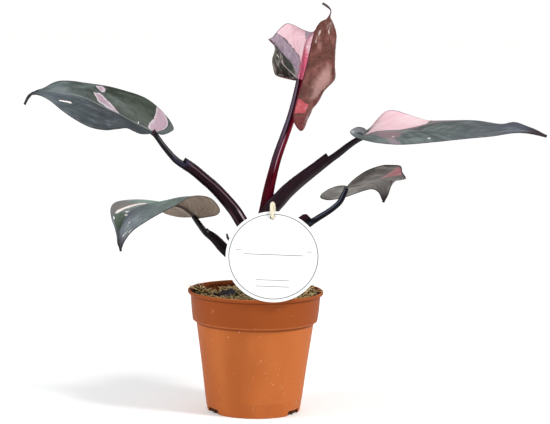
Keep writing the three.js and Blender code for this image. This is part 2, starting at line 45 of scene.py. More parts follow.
class Route:
    # a smooth line through points in mm, read by its share of the length
    def __init__(self, points, closed=False):
        points = np.asarray(points, float)
        if closed:
            self.knots = np.vstack([points[-1], points, points[0], points[1]])
            self.spans = len(points)
        else:
            self.knots = np.vstack([2 * points[0] - points[1], points, 2 * points[-1] - points[-2]])
            self.spans = len(points) - 1
        self.marks = np.linspace(0, 1, 401)
        line = self.raw(self.marks)
        self.run = np.concatenate([[0], np.cumsum(np.linalg.norm(np.diff(line, axis=0), axis=1))])
        self.length = self.run[-1]

    def raw(self, t):
        t = np.clip(np.asarray(t, float), 0, 1) * self.spans
        i = np.minimum(t.astype(int), self.spans - 1)
        f = (t - i)[..., None]
        a, b, c, d = (self.knots[i + k] for k in range(4))
        bent = 2 * b + (c - a) * f + (2 * a - 5 * b + 4 * c - d) * f**2 + (3 * b - a - 3 * c + d) * f**3
        return 0.5 * bent

    def at(self, u):
        return self.raw(np.interp(np.clip(u, 0, 1) * self.length, self.run, self.marks))

    def tangent(self, u):
        u = np.asarray(u, float)
        ahead = self.at(np.clip(u + 0.004, 0, 1)) - self.at(np.clip(u - 0.004, 0, 1))
        return ahead / np.linalg.norm(ahead, axis=-1, keepdims=True)


def tableAt(rows, t, soft=0):
    # rows are [at, value...]; soft rounds the corners over that share of the length
    rows = np.asarray(rows, float)
    grid = np.linspace(0, 1, 1001)
    values = np.stack([np.interp(grid, rows[:, 0], column) for column in rows.T[1:]], -1)
    if soft:
        reach = int(soft * 1000)
        kernel = np.exp(-0.5 * (np.arange(-3 * reach, 3 * reach + 1) / reach) ** 2)
        kernel /= kernel.sum()
        padded = np.pad(values, ((3 * reach, 3 * reach), (0, 0)), mode="edge")
        values = np.stack([np.convolve(column, kernel, "valid") for column in padded.T], -1)
    return np.stack([np.interp(t, grid, column) for column in values.T], -1)


def smooth(value, low, high):
    k = np.clip((value - low) / (high - low), 0, 1)
    return k * k * (3 - 2 * k)


def lumps(x, y, size, seed):
    # soft random bumps from 0 to 1, about one for each size
    table = np.random.default_rng(seed).random((64, 64))
    gx, gy = x / size + 31.3, y / size + 27.7
    i, j = np.floor(gx).astype(int), np.floor(gy).astype(int)
    fx, fy = smooth(gx - i, 0, 1), smooth(gy - j, 0, 1)
    pick = lambda a, b: table[a % 64, b % 64]
    low = pick(i, j) * (1 - fx) + pick(i + 1, j) * fx
    high = pick(i, j + 1) * (1 - fx) + pick(i + 1, j + 1) * fx
    return low * (1 - fy) + high * fy


# mesh helpers, in mm

def makeObject(name, points, faces, materials, slots=None, facts=None):
    mesh = bpy.data.meshes.new(name)
    mesh.from_pydata((np.asarray(points) * mm).tolist(), [], [list(map(int, f)) for f in faces])
    mesh.update()
    for material in materials:
        mesh.materials.append(material)
    if slots is not None:
        mesh.polygons.foreach_set("material_index", np.asarray(slots, np.int32))
    for label, values in (facts or {}).items():
        mesh.attributes.new(label, "FLOAT", "POINT").data.foreach_set("value", np.asarray(values, np.float32))
    mesh.polygons.foreach_set("use_smooth", np.ones(len(mesh.polygons), bool))
    made = bpy.data.objects.new(name, mesh)
    scene.collection.objects.link(made)
    return made


def settle(piece):
    # swaps live modifiers for the plain mesh they make
    graph = bpy.context.evaluated_depsgraph_get()
    live = piece.evaluated_get(graph)
    made = bpy.data.meshes.new_from_object(live, preserve_all_data_layers=True, depsgraph=graph)
    made.name = piece.name
    piece.modifiers.clear()
    piece.data = made
    return piece


def keep(piece, slot, *nodes):
    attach(piece, "root")
    if nodes:
        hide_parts(*nodes)
    return piece


def gridFaces(rows, columns):
    # quads between closed rings that lie one after another
    i, k = np.meshgrid(np.arange(rows - 1), np.arange(columns), indexing="ij")
    j = (k + 1) % columns
    quads = [i * columns + k, i * columns + j, (i + 1) * columns + j, (i + 1) * columns + k]
    return np.stack(quads, -1).reshape(-1, 4)


def tubeFaces(rows, columns):
    # the same with both ends closed
    ends = [list(range(columns))[::-1], list(range((rows - 1) * columns, rows * columns))]
    return gridFaces(rows, columns).tolist() + ends


def tubeMesh(name, path, stations, face, sections, material, facts=None):
    # sweeps a section of [across, up] points along a path
    along = path.tangent(stations)
    up = np.asarray(face, float) - along * (along @ np.asarray(face, float))[:, None]
    up /= np.linalg.norm(up, axis=1, keepdims=True)
    across = np.cross(up, along)
    centre = path.at(stations)
    sections = np.stack(sections)
    points = centre[:, None] + across[:, None] * sections[..., :1] + up[:, None] * sections[..., 1:]
    rows, columns = sections.shape[:2]
    turn = np.tile(np.arange(columns) / columns, rows)
    values = {"along": np.repeat(stations * path.length, columns), "turn": turn}
    for label, table in (facts or {}).items():
        values[label] = np.repeat(table, columns)
    return makeObject(name, points.reshape(-1, 3), tubeFaces(rows, columns), [material], facts=values)


def ringSection(radius, count, flatten=1.0):
    a = np.arange(count) / count * 2 * np.pi
    return np.stack([radius * np.cos(a), radius * np.sin(a) * flatten], -1)


# material helpers

def paint(code):
    # screen colour code to the linear colour that a shader takes
    values = [int(code[i:i + 2], 16) / 255 for i in (0, 2, 4)]
    return tuple(v / 12.92 if v <= 0.04045 else ((v + 0.055) / 1.055) ** 2.4 for v in values) + (1,)


class Pen:
    # draws one material: each call adds a node and gives back its output
    def __init__(self, name):
        self.material = bpy.data.materials.new(name)
        self.material.use_nodes = True
        self.tree = self.material.node_tree
        self.shader = next(n for n in self.tree.nodes if n.type == "BSDF_PRINCIPLED")

    def plug(self, socket, value):
        if isinstance(value, bpy.types.NodeSocket):
            self.tree.links.new(value, socket)
        else:
            socket.default_value = paint(value) if isinstance(value, str) else value

    def node(self, kind, inputs=None, **settings):
        made = self.tree.nodes.new("ShaderNode" + kind)
        for key, value in settings.items():
            setattr(made, key, value)
        for key, value in (inputs or {}).items():
            self.plug(made.inputs[key], value)
        return made

    def fact(self, name):
        return self.node("Attribute", attribute_name=name).outputs["Fac"]

    def place(self, stretch=(1, 1, 1)):
        source = self.node("TexCoord").outputs["Object"]
        return self.node("Mapping", {"Vector": source, "Scale": stretch}).outputs["Vector"]

    def split(self, vector):
        return self.node("SeparateXYZ", {"Vector": vector}).outputs

    def join(self, x, y, z):
        return self.node("CombineXYZ", {"X": x, "Y": y, "Z": z}).outputs["Vector"]

    def noise(self, vector, scale, detail=3, rough=0.55):
        inputs = {"Vector": vector, "Scale": scale, "Detail": detail, "Roughness": rough}
        return self.node("TexNoise", inputs).outputs["Fac"]

    def cells(self, vector, scale, feature="F1", output="Distance"):
        return self.node("TexVoronoi", {"Vector": vector, "Scale": scale}, feature=feature).outputs[output]

    def calc(self, operation, a, b=0.0, c=0.0):
        return self.node("Math", {0: a, 1: b, 2: c}, operation=operation).outputs[0]

    def times(self, a, b):
        return self.calc("MULTIPLY", a, b)

    def plus(self, a, b):
        return self.calc("ADD", a, b)

    def hypot(self, a, b):
        return self.calc("SQRT", self.plus(self.times(a, a), self.times(b, b)))

    def step(self, value, low, high, first=0.0, last=1.0):
        inputs = {"Value": value, "From Min": low, "From Max": high, "To Min": first, "To Max": last}
        return self.node("MapRange", inputs, interpolation_type="SMOOTHSTEP").outputs["Result"]

    def line(self, value, mark, sharp, wide, most=1.0):
        # a line where a value passes its mark, fading from sharp to wide on either side
        gap = self.calc("ABSOLUTE", self.calc("SUBTRACT", value, mark))
        return self.step(gap, sharp, wide, most, 0)

    def mix(self, share, a, b):
        # a and b are colours, as outputs or as codes
        made = self.node("Mix", data_type="RGBA")
        for index, value in ((0, share), (6, a), (7, b)):
            self.plug(made.inputs[index], value)
        return made.outputs[2]

    def bump(self, height, depth, strength=1.0, under=None):
        inputs = {"Height": height, "Distance": depth, "Strength": strength}
        if under is not None:
            inputs["Normal"] = under
        return self.node("Bump", inputs).outputs["Normal"]

    def done(self, colour, roughness, normal=None, **fixed):
        self.plug(self.shader.inputs["Base Color"], colour)
        self.plug(self.shader.inputs["Roughness"], roughness)
        if normal is not None:
            self.plug(self.shader.inputs["Normal"], normal)
        for key, value in fixed.items():
            self.shader.inputs[key.replace("_", " ")].default_value = value
        return self.material


# camera, light and floor, in metres

studio = {
    "eye": (0.01614, -1.6, 0.3593), "aim": (0.01614, 0, 0.1807), "roll": 1.12, "lens": 117.1,
    "sensor": 36, "farthest": 100,
    "sun": {"at": (2.28, -1.02, 2.28), "strength": 2.2, "angle": 14},
    "lamps": [
        {"name": "fillLight", "at": (-1.1, -1.2, 0.7), "size": 1.6, "power": 6.5, "tint": (1, 1, 1)},
        {"name": "sideLight", "at": (-0.8, -0.35, 0.9), "size": 0.5, "power": 4, "tint": (0.86, 0.93, 1)},
    ],
    "lampsAim": (0, 0, 0.15), "sky": 0.45, "backdrop": 1.05, "backdropFrom": 0.35, "backdropFull": 0.8,
    "mirrored": 0.15, "floor": ("f4f4f3", "e6e6e4"), "floorGlow": 0.16, "floorReach": 30,
}


def makeStudio(look):
    camera = bpy.data.objects.new("studioCamera", bpy.data.cameras.new("studioCamera"))
    scene.collection.objects.link(camera)
    eye, aim = np.array(look["eye"]), np.array(look["aim"])
    ahead = (aim - eye) / np.linalg.norm(aim - eye)
    right = np.array([1.0, 0, 0])
    up = np.cross(right, ahead)
    turn = math.radians(look["roll"])
    right, up = right * math.cos(turn) + up * math.sin(turn), up * math.cos(turn) - right * math.sin(turn)
    facing = Matrix(np.stack([right, up, -ahead], 1).tolist()).to_4x4()
    camera.matrix_world = Matrix.Translation(look["eye"]) @ facing
    camera.data.lens = look["lens"]
    camera.data.sensor_width = look["sensor"]
    camera.data.clip_end = look["farthest"]
    scene.camera = camera
    sun = bpy.data.lights.new("sunLight", "SUN")
    sun.energy, sun.angle = look["sun"]["strength"], math.radians(look["sun"]["angle"])
    lamps = [(sun, Vector(look["sun"]["at"]))]
    for box in look["lamps"]:
        lamp = bpy.data.lights.new(box["name"], "AREA")
        lamp.energy, lamp.size, lamp.color = box["power"], box["size"], box["tint"]
        lamps.append((lamp, Vector(box["at"])))
    for lamp, place in lamps:
        holder = bpy.data.objects.new(lamp.name, lamp)
        scene.collection.objects.link(holder)
        holder.location = place
        holder.rotation_euler = (Vector(look["lampsAim"]) - place).to_track_quat("-Z", "Y").to_euler()


def makeSky(look):
    # white cloth behind, a dimmer room elsewhere
    world = bpy.data.worlds.new("studioSky")
    world.use_nodes = True
    tree = world.node_tree
    where = tree.nodes.new("ShaderNodeTexCoord")
    parts = tree.nodes.new("ShaderNodeSeparateXYZ")
    bright = tree.nodes.new("ShaderNodeMapRange")
    bright.interpolation_type = "SMOOTHSTEP"
    levels = {"From Min": "backdropFrom", "From Max": "backdropFull", "To Min": "sky", "To Max": "backdrop"}
    for name, key in levels.items():
        bright.inputs[name].default_value = look[key]
    tree.links.new(where.outputs["Generated"], parts.inputs["Vector"])
    tree.links.new(parts.outputs["Y"], bright.inputs["Value"])
    # polished surfaces mirror a darker room than the one that lights them
    ray = tree.nodes.new("ShaderNodeLightPath")
    dimmed = tree.nodes.new("ShaderNodeMix")
    tree.links.new(ray.outputs["Is Glossy Ray"], dimmed.inputs[0])
    tree.links.new(bright.outputs["Result"], dimmed.inputs[2])
    dimmed.inputs[3].default_value = look["mirrored"]
    tree.links.new(dimmed.outputs[0], tree.nodes["Background"].inputs["Strength"])
    tree.nodes["Background"].inputs["Color"].default_value = (1, 1, 1, 1)
    scene.world = world
    scene.view_settings.view_transform = "Standard"


def makeFloor(look):
    side = look["floorReach"] / mm
    corners = [[-side, -side, 0], [side, -side, 0], [side, side, 0], [-side, side, 0]]
    pen = Pen("floorPaper")
    paper = pen.mix(pen.step(pen.noise(pen.place(), 40, 4), 0.3, 0.7, 0, 0.05), *look["floor"])
    finish = pen.done(paper, 0.8, Emission_Color=(1, 1, 1, 1), Emission_Strength=look["floorGlow"])
    makeObject("studioFloor", corners, [[0, 1, 2, 3]], [finish])


makeStudio(studio)
makeSky(studio)
makeFloor(studio)
print("studio: camera, lights and a pale floor")


# the pot in mm: its profile is rows of [radius, height], from the middle of the foot to the middle inside

pot = {
    "segments": 168,
    "profile": [
        [0, 0], [38, 0], [41.1, 0], [41.8, 0.3], [42.1, 1], [42.45, 3.6], [42.75, 4.2], [43.9, 12.6],
        [44.15, 13], [44.1, 13.4], [47.6, 41], [53.1, 80.6], [53.2, 81.2], [53.6, 81.8], [55.9, 82.5],
        [56.3, 82.8], [56.5, 83.5], [57.5, 91], [58.6, 104.3], [58.85, 106], [59.2, 106.5], [60.4, 106.7],
        [60.9, 107], [61.15, 107.5], [61.2, 108], [61.2, 108.9], [61, 109.5], [60.5, 109.8],
        [59.8, 109.8], [59.3, 109.5], [59, 109], [58.4, 107.9], [57.7, 106.8], [57.3, 105.6],
        [57.1, 104.4], [56, 91], [55, 85.6], [54.6, 84.6], [52.4, 82.3], [51.9, 81.2], [51.6, 79.5],
        [46.4, 42], [41.1, 3], [40.8, 2.1], [40.1, 1.8], [0, 1.8],
    ],
    "notchAngles": (-30, -150, 90), "notchWidth": 20, "notchHeight": 4.6, "notchReach": (39.1, 48),
    "notchTaper": 0.88, "ribWidth": 1.8, "ribReach": (30, 40.5), "past": 5, "sharpFrom": 50,
    # where its finish changes, heights in metres
    "lipTop": 0.1096, "bandFoot": 0.0832, "bandShadeFade": (0.079, 0.085), "shadedCreases": (0.1061, 0.0808),
    "plastic": ("a95828", "ba6733"), "grain": "c98455", "bandShade": "8e431a", "worn": "c98658",
    "creaseShade": "5a2409", "scratch": "d79c74", "lime": "e8c4a4", "crumb": "6e3d22", "dirt": "3a2014",
    "notchShade": "2a150c",
}


def revolve(name, profile, segments, materials):
    profile = np.asarray(profile, float)
    angles = np.arange(segments) / segments * 2 * np.pi
    rings = profile[1:-1]
    points = [[0, 0, profile[0][1]]]
    for radius, z in rings:
        points += [[radius * math.cos(a), radius * math.sin(a), z] for a in angles]
    points.append([0, 0, profile[-1][1]])
    faces = [(f + 1).tolist() for f in gridFaces(len(rings), segments)]
    last = len(points) - 1
    for k in range(segments):
        j = (k + 1) % segments
        faces.append([0, 1 + j, 1 + k])
        faces.append([last, last - segments + k, last - segments + j])
    return makeObject(name, points, faces, materials)


def potPlastic(look):
    pen = Pen("terracottaPlastic")
    times, step = pen.times, pen.step
    point = pen.place()
    x, y, z = pen.split(point)[:3]
    radius = pen.hypot(x, y)
    cloud = pen.noise(pen.place((1, 1, 0.35)), 22, 3, 0.5)
    grain = pen.noise(point, 900, 2, 0.6)
    colour = pen.mix(step(cloud, 0.3, 0.7), *look["plastic"])
    colour = pen.mix(step(grain, 0.35, 0.75, 0, 0.1), colour, look["grain"])
    # the band above the step is darker than the wall below, partly painted shade where the tag shadows it
    colour = pen.mix(step(z, *look["bandShadeFade"], 0, 0.85), colour, look["bandShade"])
    # painted highlights along the lip's top edge and the band's foot, broken up by noise
    lip, shoulder = pen.line(z, look["lipTop"], 0.0001, 0.0005), pen.line(z, look["bandFoot"], 0.0001, 0.0004)
    worn = times(pen.calc("MAXIMUM", lip, shoulder), step(pen.noise(point, 180, 3), 0.3, 0.6, 0.25, 0.8))
    colour = pen.mix(times(worn, 0.5), colour, look["worn"])
    # painted shade in the creases under the lip and the band
    shadedCreases = 0.0
    for height in look["shadedCreases"]:
        shadedCreases = pen.calc("MAXIMUM", shadedCreases, pen.line(z, height, 0.0004, 0.0012, 0.55))
    colour = pen.mix(shadedCreases, colour, look["creaseShade"])
    # fine scratches, most of them level with the rim, and stray hairs
    scratches = pen.cells(pen.place((90, 90, 700)), 1.0, feature="DISTANCE_TO_EDGE")
    scuffed = times(step(scratches, 0.0, 0.02, 1, 0), step(pen.noise(point, 30, 3), 0.52, 0.66))
    hairline = pen.line(pen.noise(point, 28, 2), 0.5, 0.0, 0.006)
    hair = times(hairline, step(pen.noise(point, 70, 2), 0.56, 0.62))
    colour = pen.mix(times(pen.calc("MAXIMUM", scuffed, hair), 0.3), colour, look["scratch"])
    # dried specks of lime and potting mix
    specks, crumbs = pen.cells(point, 210), pen.cells(pen.place((1, 1, 0.8)), 330)
    chosen = step(pen.noise(point, 26, 2), 0.54, 0.64)
    colour = pen.mix(times(step(specks, 0.05, 0.12, 0.8, 0), chosen), colour, look["lime"])
    low = times(step(pen.noise(point, 40, 2), 0.5, 0.62), step(z, 0.02, 0.1, 0.9, 0.3))
    colour = pen.mix(times(step(crumbs, 0.04, 0.1, 0.7, 0), low), colour, look["crumb"])
    # dirt on the inside near the mix, and painted shade inside the drainage notches
    wall = pen.calc("MULTIPLY_ADD", z, 0.085, 0.0491)
    inside = step(pen.calc("SUBTRACT", radius, wall), -0.0003, 0.0003, 1, 0)
    dirt = times(times(inside, step(z, 0.085, 0.09)), step(pen.noise(point, 120, 4), 0.42, 0.6))
    # painted shade: the low inner faces seen through the notches are darkened
    foot = times(step(z, 0.004, 0.0075, 1, 0), step(radius, 0.0409, 0.0416, 1, 0))
    colour = pen.mix(times(dirt, 0.6), colour, look["dirt"])
    colour = pen.mix(times(foot, 0.8), colour, look["notchShade"])
    relief = pen.bump(pen.plus(times(grain, 0.35), scuffed), 0.00012, 0.5)
    return pen.done(colour, step(cloud, 0.2, 0.8, 0.46, 0.6), relief, IOR=1.5, Specular_IOR_Level=0.08)


def block(a, near, far, side, low, high, taper=1.0):
    # a box set along a radius, its top narrowed by taper
    corners = []
    for z, share in ((low, 1.0), (high, taper)):
        for r, way in ((near, -1), (far, -1), (far, 1), (near, 1)):
            s = way * side * share
            corners.append([r * math.cos(a) - s * math.sin(a), r * math.sin(a) + s * math.cos(a), z])
    faces = [[3, 2, 1, 0], [4, 5, 6, 7]] + [[k, (k + 1) % 4, 4 + (k + 1) % 4, 4 + k] for k in range(4)]
    return makeObject("notchBlock", corners, faces, [])


def carve(piece, tool, way):
    change = piece.modifiers.new("carve", "BOOLEAN")
    change.operation = way
    change.object = tool
    change.solver = "EXACT"
    settle(piece)
    bpy.data.objects.remove(tool)


def makePot(look):
    shell = revolve("potShell", look["profile"], look["segments"], [potPlastic(look)])
    height, past = look["notchHeight"], look["past"]
    for angle in look["notchAngles"]:
        a = math.radians(angle)
        cutter = block(a, *look["notchReach"], look["notchWidth"] / 2, -2, height, look["notchTaper"])
        carve(cutter, block(a, *look["ribReach"], look["ribWidth"] / 2, -past, height + past), "DIFFERENCE")
        carve(shell, cutter, "DIFFERENCE")
    shell.data.set_sharp_from_angle(angle=math.radians(look["sharpFrom"]))
    return keep(shell, "pot_plastic", "pot")


makePot(pot)
print("pot: lathed shell with three notches")


# potting mix: a plug with a lumpy top, and fibres and crumbs scattered over it

soil = {
    "level": 102.5, "crumb": 1.5, "grit": 0.8, "sides": 3.2, "middle": (2.5, 500),
    "wall": [[1.8, 40.2], [79.5, 51.2], [82, 51.8], [85.6, 54.5], [91, 55.5], [104.4, 56.6], [109, 56.8]],
    "levels": [2.1, 30, 60, 79.5, 82.2, 85.8, 92, 97], "gap": 0.3, "outermost": 56.0, "innermost": 0.6,
    "rings": 64, "segments": 200,
    "tufts": [(-54, -2, 4.2, 120), (52, 6, 2.5, 160)], "hollows": [(-42, 30, 4.2, 320), (-25, -3, 1.6, 90)],
    "peat": ("0a0807", "241a13"), "threads": "5f4c33",
}


def mounds(x, y, rows):
    # rows of place, height and spread
    return sum(height * np.exp(-((x - cx) ** 2 + (y - cy) ** 2) / spread) for cx, cy, height, spread in rows)


def soilHeight(look, x, y):
    r = np.hypot(x, y)
    height, spread = look["middle"]
    waves = 1.1 * np.sin(0.31 * x + 1.3) * np.cos(0.27 * y - 0.4)
    waves += 0.9 * np.sin(0.53 * y + 0.21 * x + 2.1) + 0.6 * np.sin(0.83 * x - 0.61 * y + 0.7)
    base = look["level"] + waves + look["sides"] * (np.abs(x) / look["outermost"]) ** 3
    base = base + height * np.exp(-r * r / spread)
    base = base + mounds(x, y, look["tufts"]) - mounds(x, y, look["hollows"])
    fine = look["crumb"] * (lumps(x, y, 2.6, 3) - 0.5) + look["grit"] * (lumps(x, y, 1.1, 4) - 0.5)
    return base + fine * np.clip((look["outermost"] + 1 - r) / 3, 0.2, 1)


def soilEarth(look):
    pen = Pen("pottingMix")
    point = pen.place()
    clumps = pen.noise(point, 260, 4, 0.65)
    colour = pen.mix(pen.step(clumps, 0.3, 0.72), *look["peat"])
    threads = pen.noise(pen.place((1, 0.25, 1)), 1400, 2)
    colour = pen.mix(pen.step(threads, 0.6, 0.74, 0, 0.7), colour, look["threads"])
    relief = pen.bump(pen.noise(point, 1300, 3, 0.7), 0.0006, 0.9)
    return pen.done(colour, pen.step(clumps, 0.2, 0.8, 0.75, 0.95), relief, IOR=1.4)


def makeSoil(look):
    angles = np.arange(look["segments"]) / look["segments"] * 2 * np.pi
    low, high = look["wall"][0][0], look["wall"][-1][0]
    wall = [[(z - low) / (high - low), radius] for z, radius in look["wall"]]
    rings = []
    for z in look["levels"]:
        radius = tableAt(wall, (z - low) / (high - low))[0] - look["gap"]
        x, y = radius * np.cos(angles), radius * np.sin(angles)
        rings.append(np.column_stack([x, y, np.full_like(angles, z)]))
    for radius in np.linspace(look["outermost"], look["innermost"], look["rings"]):
        x, y = radius * np.cos(angles), radius * np.sin(angles)
        rings.append(np.column_stack([x, y, soilHeight(look, x, y)]))
    rows, columns = len(rings), look["segments"]
    top = np.repeat(np.arange(rows) > len(look["levels"]), columns).astype(float)
    return makeObject("soilPlug", np.concatenate(rings), tubeFaces(rows, columns), [soilEarth(look)],
                      facts={"topSide": top})


class Tree:
    # a geometry nodes tree with named inputs
    def __init__(self, name, inputs):
        self.group = bpy.data.node_groups.new(name, "GeometryNodeTree")
        self.sockets = {}
        face = self.group.interface
        face.new_socket("Geometry", in_out="INPUT", socket_type="NodeSocketGeometry")
        for label, kind in inputs.items():
            socket = face.new_socket(label, in_out="INPUT", socket_type="NodeSocket" + kind)
            self.sockets[label] = socket.identifier
        face.new_socket("Geometry", in_out="OUTPUT", socket_type="NodeSocketGeometry")
        self.start = self.group.nodes.new("NodeGroupInput")

    def given(self, label):
        return self.start.outputs[label]

    def node(self, kind, inputs=None, **settings):
        made = self.group.nodes.new(kind)
        for key, value in settings.items():
            setattr(made, key, value)
        for key, value in (inputs or {}).items():
            for one in value if isinstance(value, list) else [value]:
                if isinstance(one, bpy.types.NodeSocket):
                    self.group.links.new(one, made.inputs[key])
                else:
                    made.inputs[key].default_value = one
        return made

    def calc(self, operation, a, b):
        return self.node("ShaderNodeMath", {0: a, 1: b}, operation=operation).outputs[0]

    def random(self, low, high, seed):
        made = self.node("FunctionNodeRandomValue", {2: low, 3: high, "Seed": seed}, data_type="FLOAT")
        return made.outputs[1]

    def end(self, geometry):
        last = self.group.nodes.new("NodeGroupOutput")
        self.group.links.new(geometry, last.inputs["Geometry"])

    def runOn(self, piece, values):
        modifier = piece.modifiers.new(self.group.name, "NODES")
        modifier.node_group = self.group
        for label, value in values.items():
            modifier[self.sockets[label]] = value
        return settle(piece)


litter = {
    "strands": {"Density": 210000, "Seed": 4, "Smallest": 0.55, "Largest": 1.5, "Tilt": 0.8, "Bend": 0.0004,
                "Lift": 0.0018},
    "crumbs": {"Density": 80000, "Seed": 8, "Smallest": 0.4, "Largest": 1.5, "Tilt": 3.0, "Bend": 0.0014,
               "Lift": 0.0002},
    # sizes of one strand and one crumb in metres, and the room they leave free in mm
    "strandForms": ((0.0004, 0.006), (-0.0003, 0.004), (0.0008, 0.009)), "strandRadius": 0.0002,
    "crumbRadius": 0.001, "wallHeights": (95, 109), "wallRadii": (55.2, 56.9),
    "bark": {"x": -25, "half": 10.5, "near": -14, "far": 12, "above": 104},
    "stem": {"x": -1.3, "y": -4, "radius": 7},
}


def strandShapes(tree, look):
    # three bent strands to pick from, rows of bow and length
    forms = []
    for bow, length in look["strandForms"]:
        line = tree.node("GeometryNodeCurveQuadraticBezier", {
            "Resolution": 7, "Start": (-length / 2, 0, 0), "Middle": (0, bow * 2, bow),
            "End": (length / 2, 0, 0.0004)})
        ring = tree.node("GeometryNodeCurvePrimitiveCircle", {
            "Resolution": 4, "Radius": look["strandRadius"]})
        body = tree.node("GeometryNodeCurveToMesh", {
            "Curve": line.outputs[0], "Profile Curve": ring.outputs[0], "Fill Caps": True})
        forms.append(tree.node("GeometryNodeGeometryToInstance", {0: body.outputs[0]}).outputs[0])
    return tree.node("GeometryNodeJoinGeometry", {0: forms}).outputs[0]


def crumbShapes(tree, look):
    ball = tree.node("GeometryNodeMeshIcoSphere", {"Radius": look["crumbRadius"], "Subdivisions": 2})
    return tree.node("GeometryNodeGeometryToInstance", {0: ball.outputs[0]}).outputs[0]


def litterTree(name, shapesOf):
    # scatters shapes over the upper face of the mesh it is given
    tree = Tree(name, {
        "Density": "Float", "Smallest": "Float", "Largest": "Float", "Tilt": "Float", "Seed": "Int",
        "Bend": "Float", "Lift": "Float", "Finish": "Material"})
    make, given = tree.node, tree.given
    top = make("GeometryNodeInputNamedAttribute", {"Name": "topSide"}, data_type="FLOAT")
    chosen = make("FunctionNodeCompare", {0: top.outputs["Attribute"], 1: 0.9}, data_type="FLOAT",
                  operation="GREATER_THAN")
    spread = make("GeometryNodeDistributePointsOnFaces", {
        "Mesh": given("Geometry"), "Selection": chosen.outputs[0], "Density": given("Density"),
        "Seed": given("Seed")})
    shapes = shapesOf(tree, litter)
    least = tree.calc("MULTIPLY", given("Tilt"), -1.0)
    lowest = make("ShaderNodeCombineXYZ", {0: least, 1: least})
    highest = make("ShaderNodeCombineXYZ", {0: given("Tilt"), 1: given("Tilt"), 2: 6.283})
    turned = make("FunctionNodeRandomValue", {0: lowest.outputs[0], 1: highest.outputs[0], "Seed": 5},
                  data_type="FLOAT_VECTOR")
    placed = make("GeometryNodeInstanceOnPoints", {
        "Points": spread.outputs["Points"], "Instance": shapes, "Pick Instance": True,
        "Rotation": turned.outputs[0], "Scale": tree.random(given("Smallest"), given("Largest"), 9)})
    marked = make("GeometryNodeStoreNamedAttribute", {
        "Geometry": placed.outputs[0], "Name": "tone", "Value": tree.random(0.0, 1.0, 13)},
        data_type="FLOAT", domain="INSTANCE")
    real = make("GeometryNodeRealizeInstances", {0: marked.outputs[0]})
    wave = make("ShaderNodeTexNoise", {"Scale": 260.0, "Detail": 1.0})
    centred = make("ShaderNodeVectorMath", {0: wave.outputs["Color"], 1: (0.5, 0.5, 0.5)},
                   operation="SUBTRACT")
    pushed = make("ShaderNodeVectorMath", {0: centred.outputs[0], "Scale": given("Bend")}, operation="SCALE")
    raised = make("ShaderNodeCombineXYZ", {2: given("Lift")})
    moved = make("ShaderNodeVectorMath", {0: pushed.outputs[0], 1: raised.outputs[0]}, operation="ADD")
    shaped = make("GeometryNodeSetPosition", {"Geometry": real.outputs[0], "Offset": moved.outputs[0]})
    finished = make("GeometryNodeSetMaterial", {"Geometry": shaped.outputs[0], "Material": given("Finish")})
    tree.end(finished.outputs[0])
    return tree


def strandFibre():
    pen = Pen("coirFibre")
    tone = pen.fact("tone")
    colour = pen.mix(pen.step(tone, 0.15, 0.42), "170f09", "b8843f")
    colour = pen.mix(pen.step(tone, 0.32, 0.58), colour, "ffe6ae")
    colour = pen.mix(pen.step(pen.noise(pen.place(), 500, 2), 0.55, 0.75, 0, 0.4), colour, "5a4226")
    relief = pen.bump(pen.noise(pen.place(), 3000, 2), 0.0001, 0.6)
    return pen.done(colour, 0.7, relief, Specular_IOR_Level=0.3)


def crumbEarth():
    pen = Pen("peatCrumb")
    tone = pen.fact("tone")
    colour = pen.mix(pen.step(tone, 0.0, 0.85), "070605", "1c140f")
    colour = pen.mix(pen.step(tone, 0.86, 0.96), colour, "6a4a2d")
    colour = pen.mix(pen.step(pen.noise(pen.place(), 900, 3), 0.5, 0.7, 0, 0.4), colour, "3a2b1e")
    relief = pen.bump(pen.noise(pen.place(), 2200, 3), 0.0003, 0.9)
    return pen.done(colour, 0.85, relief, Specular_IOR_Level=0.25)


def inTheWay(x, y, z):
    # past the pot wall, before the bark flake or in the stem
    bark, middle = litter["bark"], litter["stem"]
    outside = math.hypot(x, y) > np.interp(z, litter["wallHeights"], litter["wallRadii"])
    beforeBark = abs(x - bark["x"]) < bark["half"] and bark["near"] < y < bark["far"] and z > bark["above"]
    return outside or beforeBark or math.hypot(x - middle["x"], y - middle["y"]) < middle["radius"]


def trimLitter(piece):
    # drops every bit that has a corner in the way
    mesh = bmesh.new()
    mesh.from_mesh(piece.data)
    bad = {vertex for vertex in mesh.verts if inTheWay(*(c / mm for c in vertex.co))}
    dropped, seen = [], set()
    for vertex in mesh.verts:
        if vertex in seen:
            continue
        bit, queue = [], [vertex]
        seen.add(vertex)
        while queue:
            one = queue.pop()
            bit.append(one)
            for edge in one.link_edges:
                other = edge.other_vert(one)
                if other not in seen:
                    seen.add(other)
                    queue.append(other)
        if not bad.isdisjoint(bit):
            dropped += bit
    bmesh.ops.delete(mesh, geom=dropped, context="VERTS")
    mesh.to_mesh(piece.data)
    mesh.free()


def makeLitter(plug, name, tree, look, finish):
    piece = bpy.data.objects.new(name, plug.data.copy())
    scene.collection.objects.link(piece)
    tree.runOn(piece, {**look, "Finish": finish})
    trimLitter(piece)
    return keep(piece, "soil")


plug = makeSoil(soil)
makeLitter(plug, "soilFibres", litterTree("strandLitter", strandShapes), litter["strands"], strandFibre())
makeLitter(plug, "soilCrumbs", litterTree("crumbLitter", crumbShapes), litter["crumbs"], crumbEarth())
keep(plug, "soil", "soil")
print("potting mix: plug, fibres and crumbs")


# stray straws over the rim, and a flake of bark

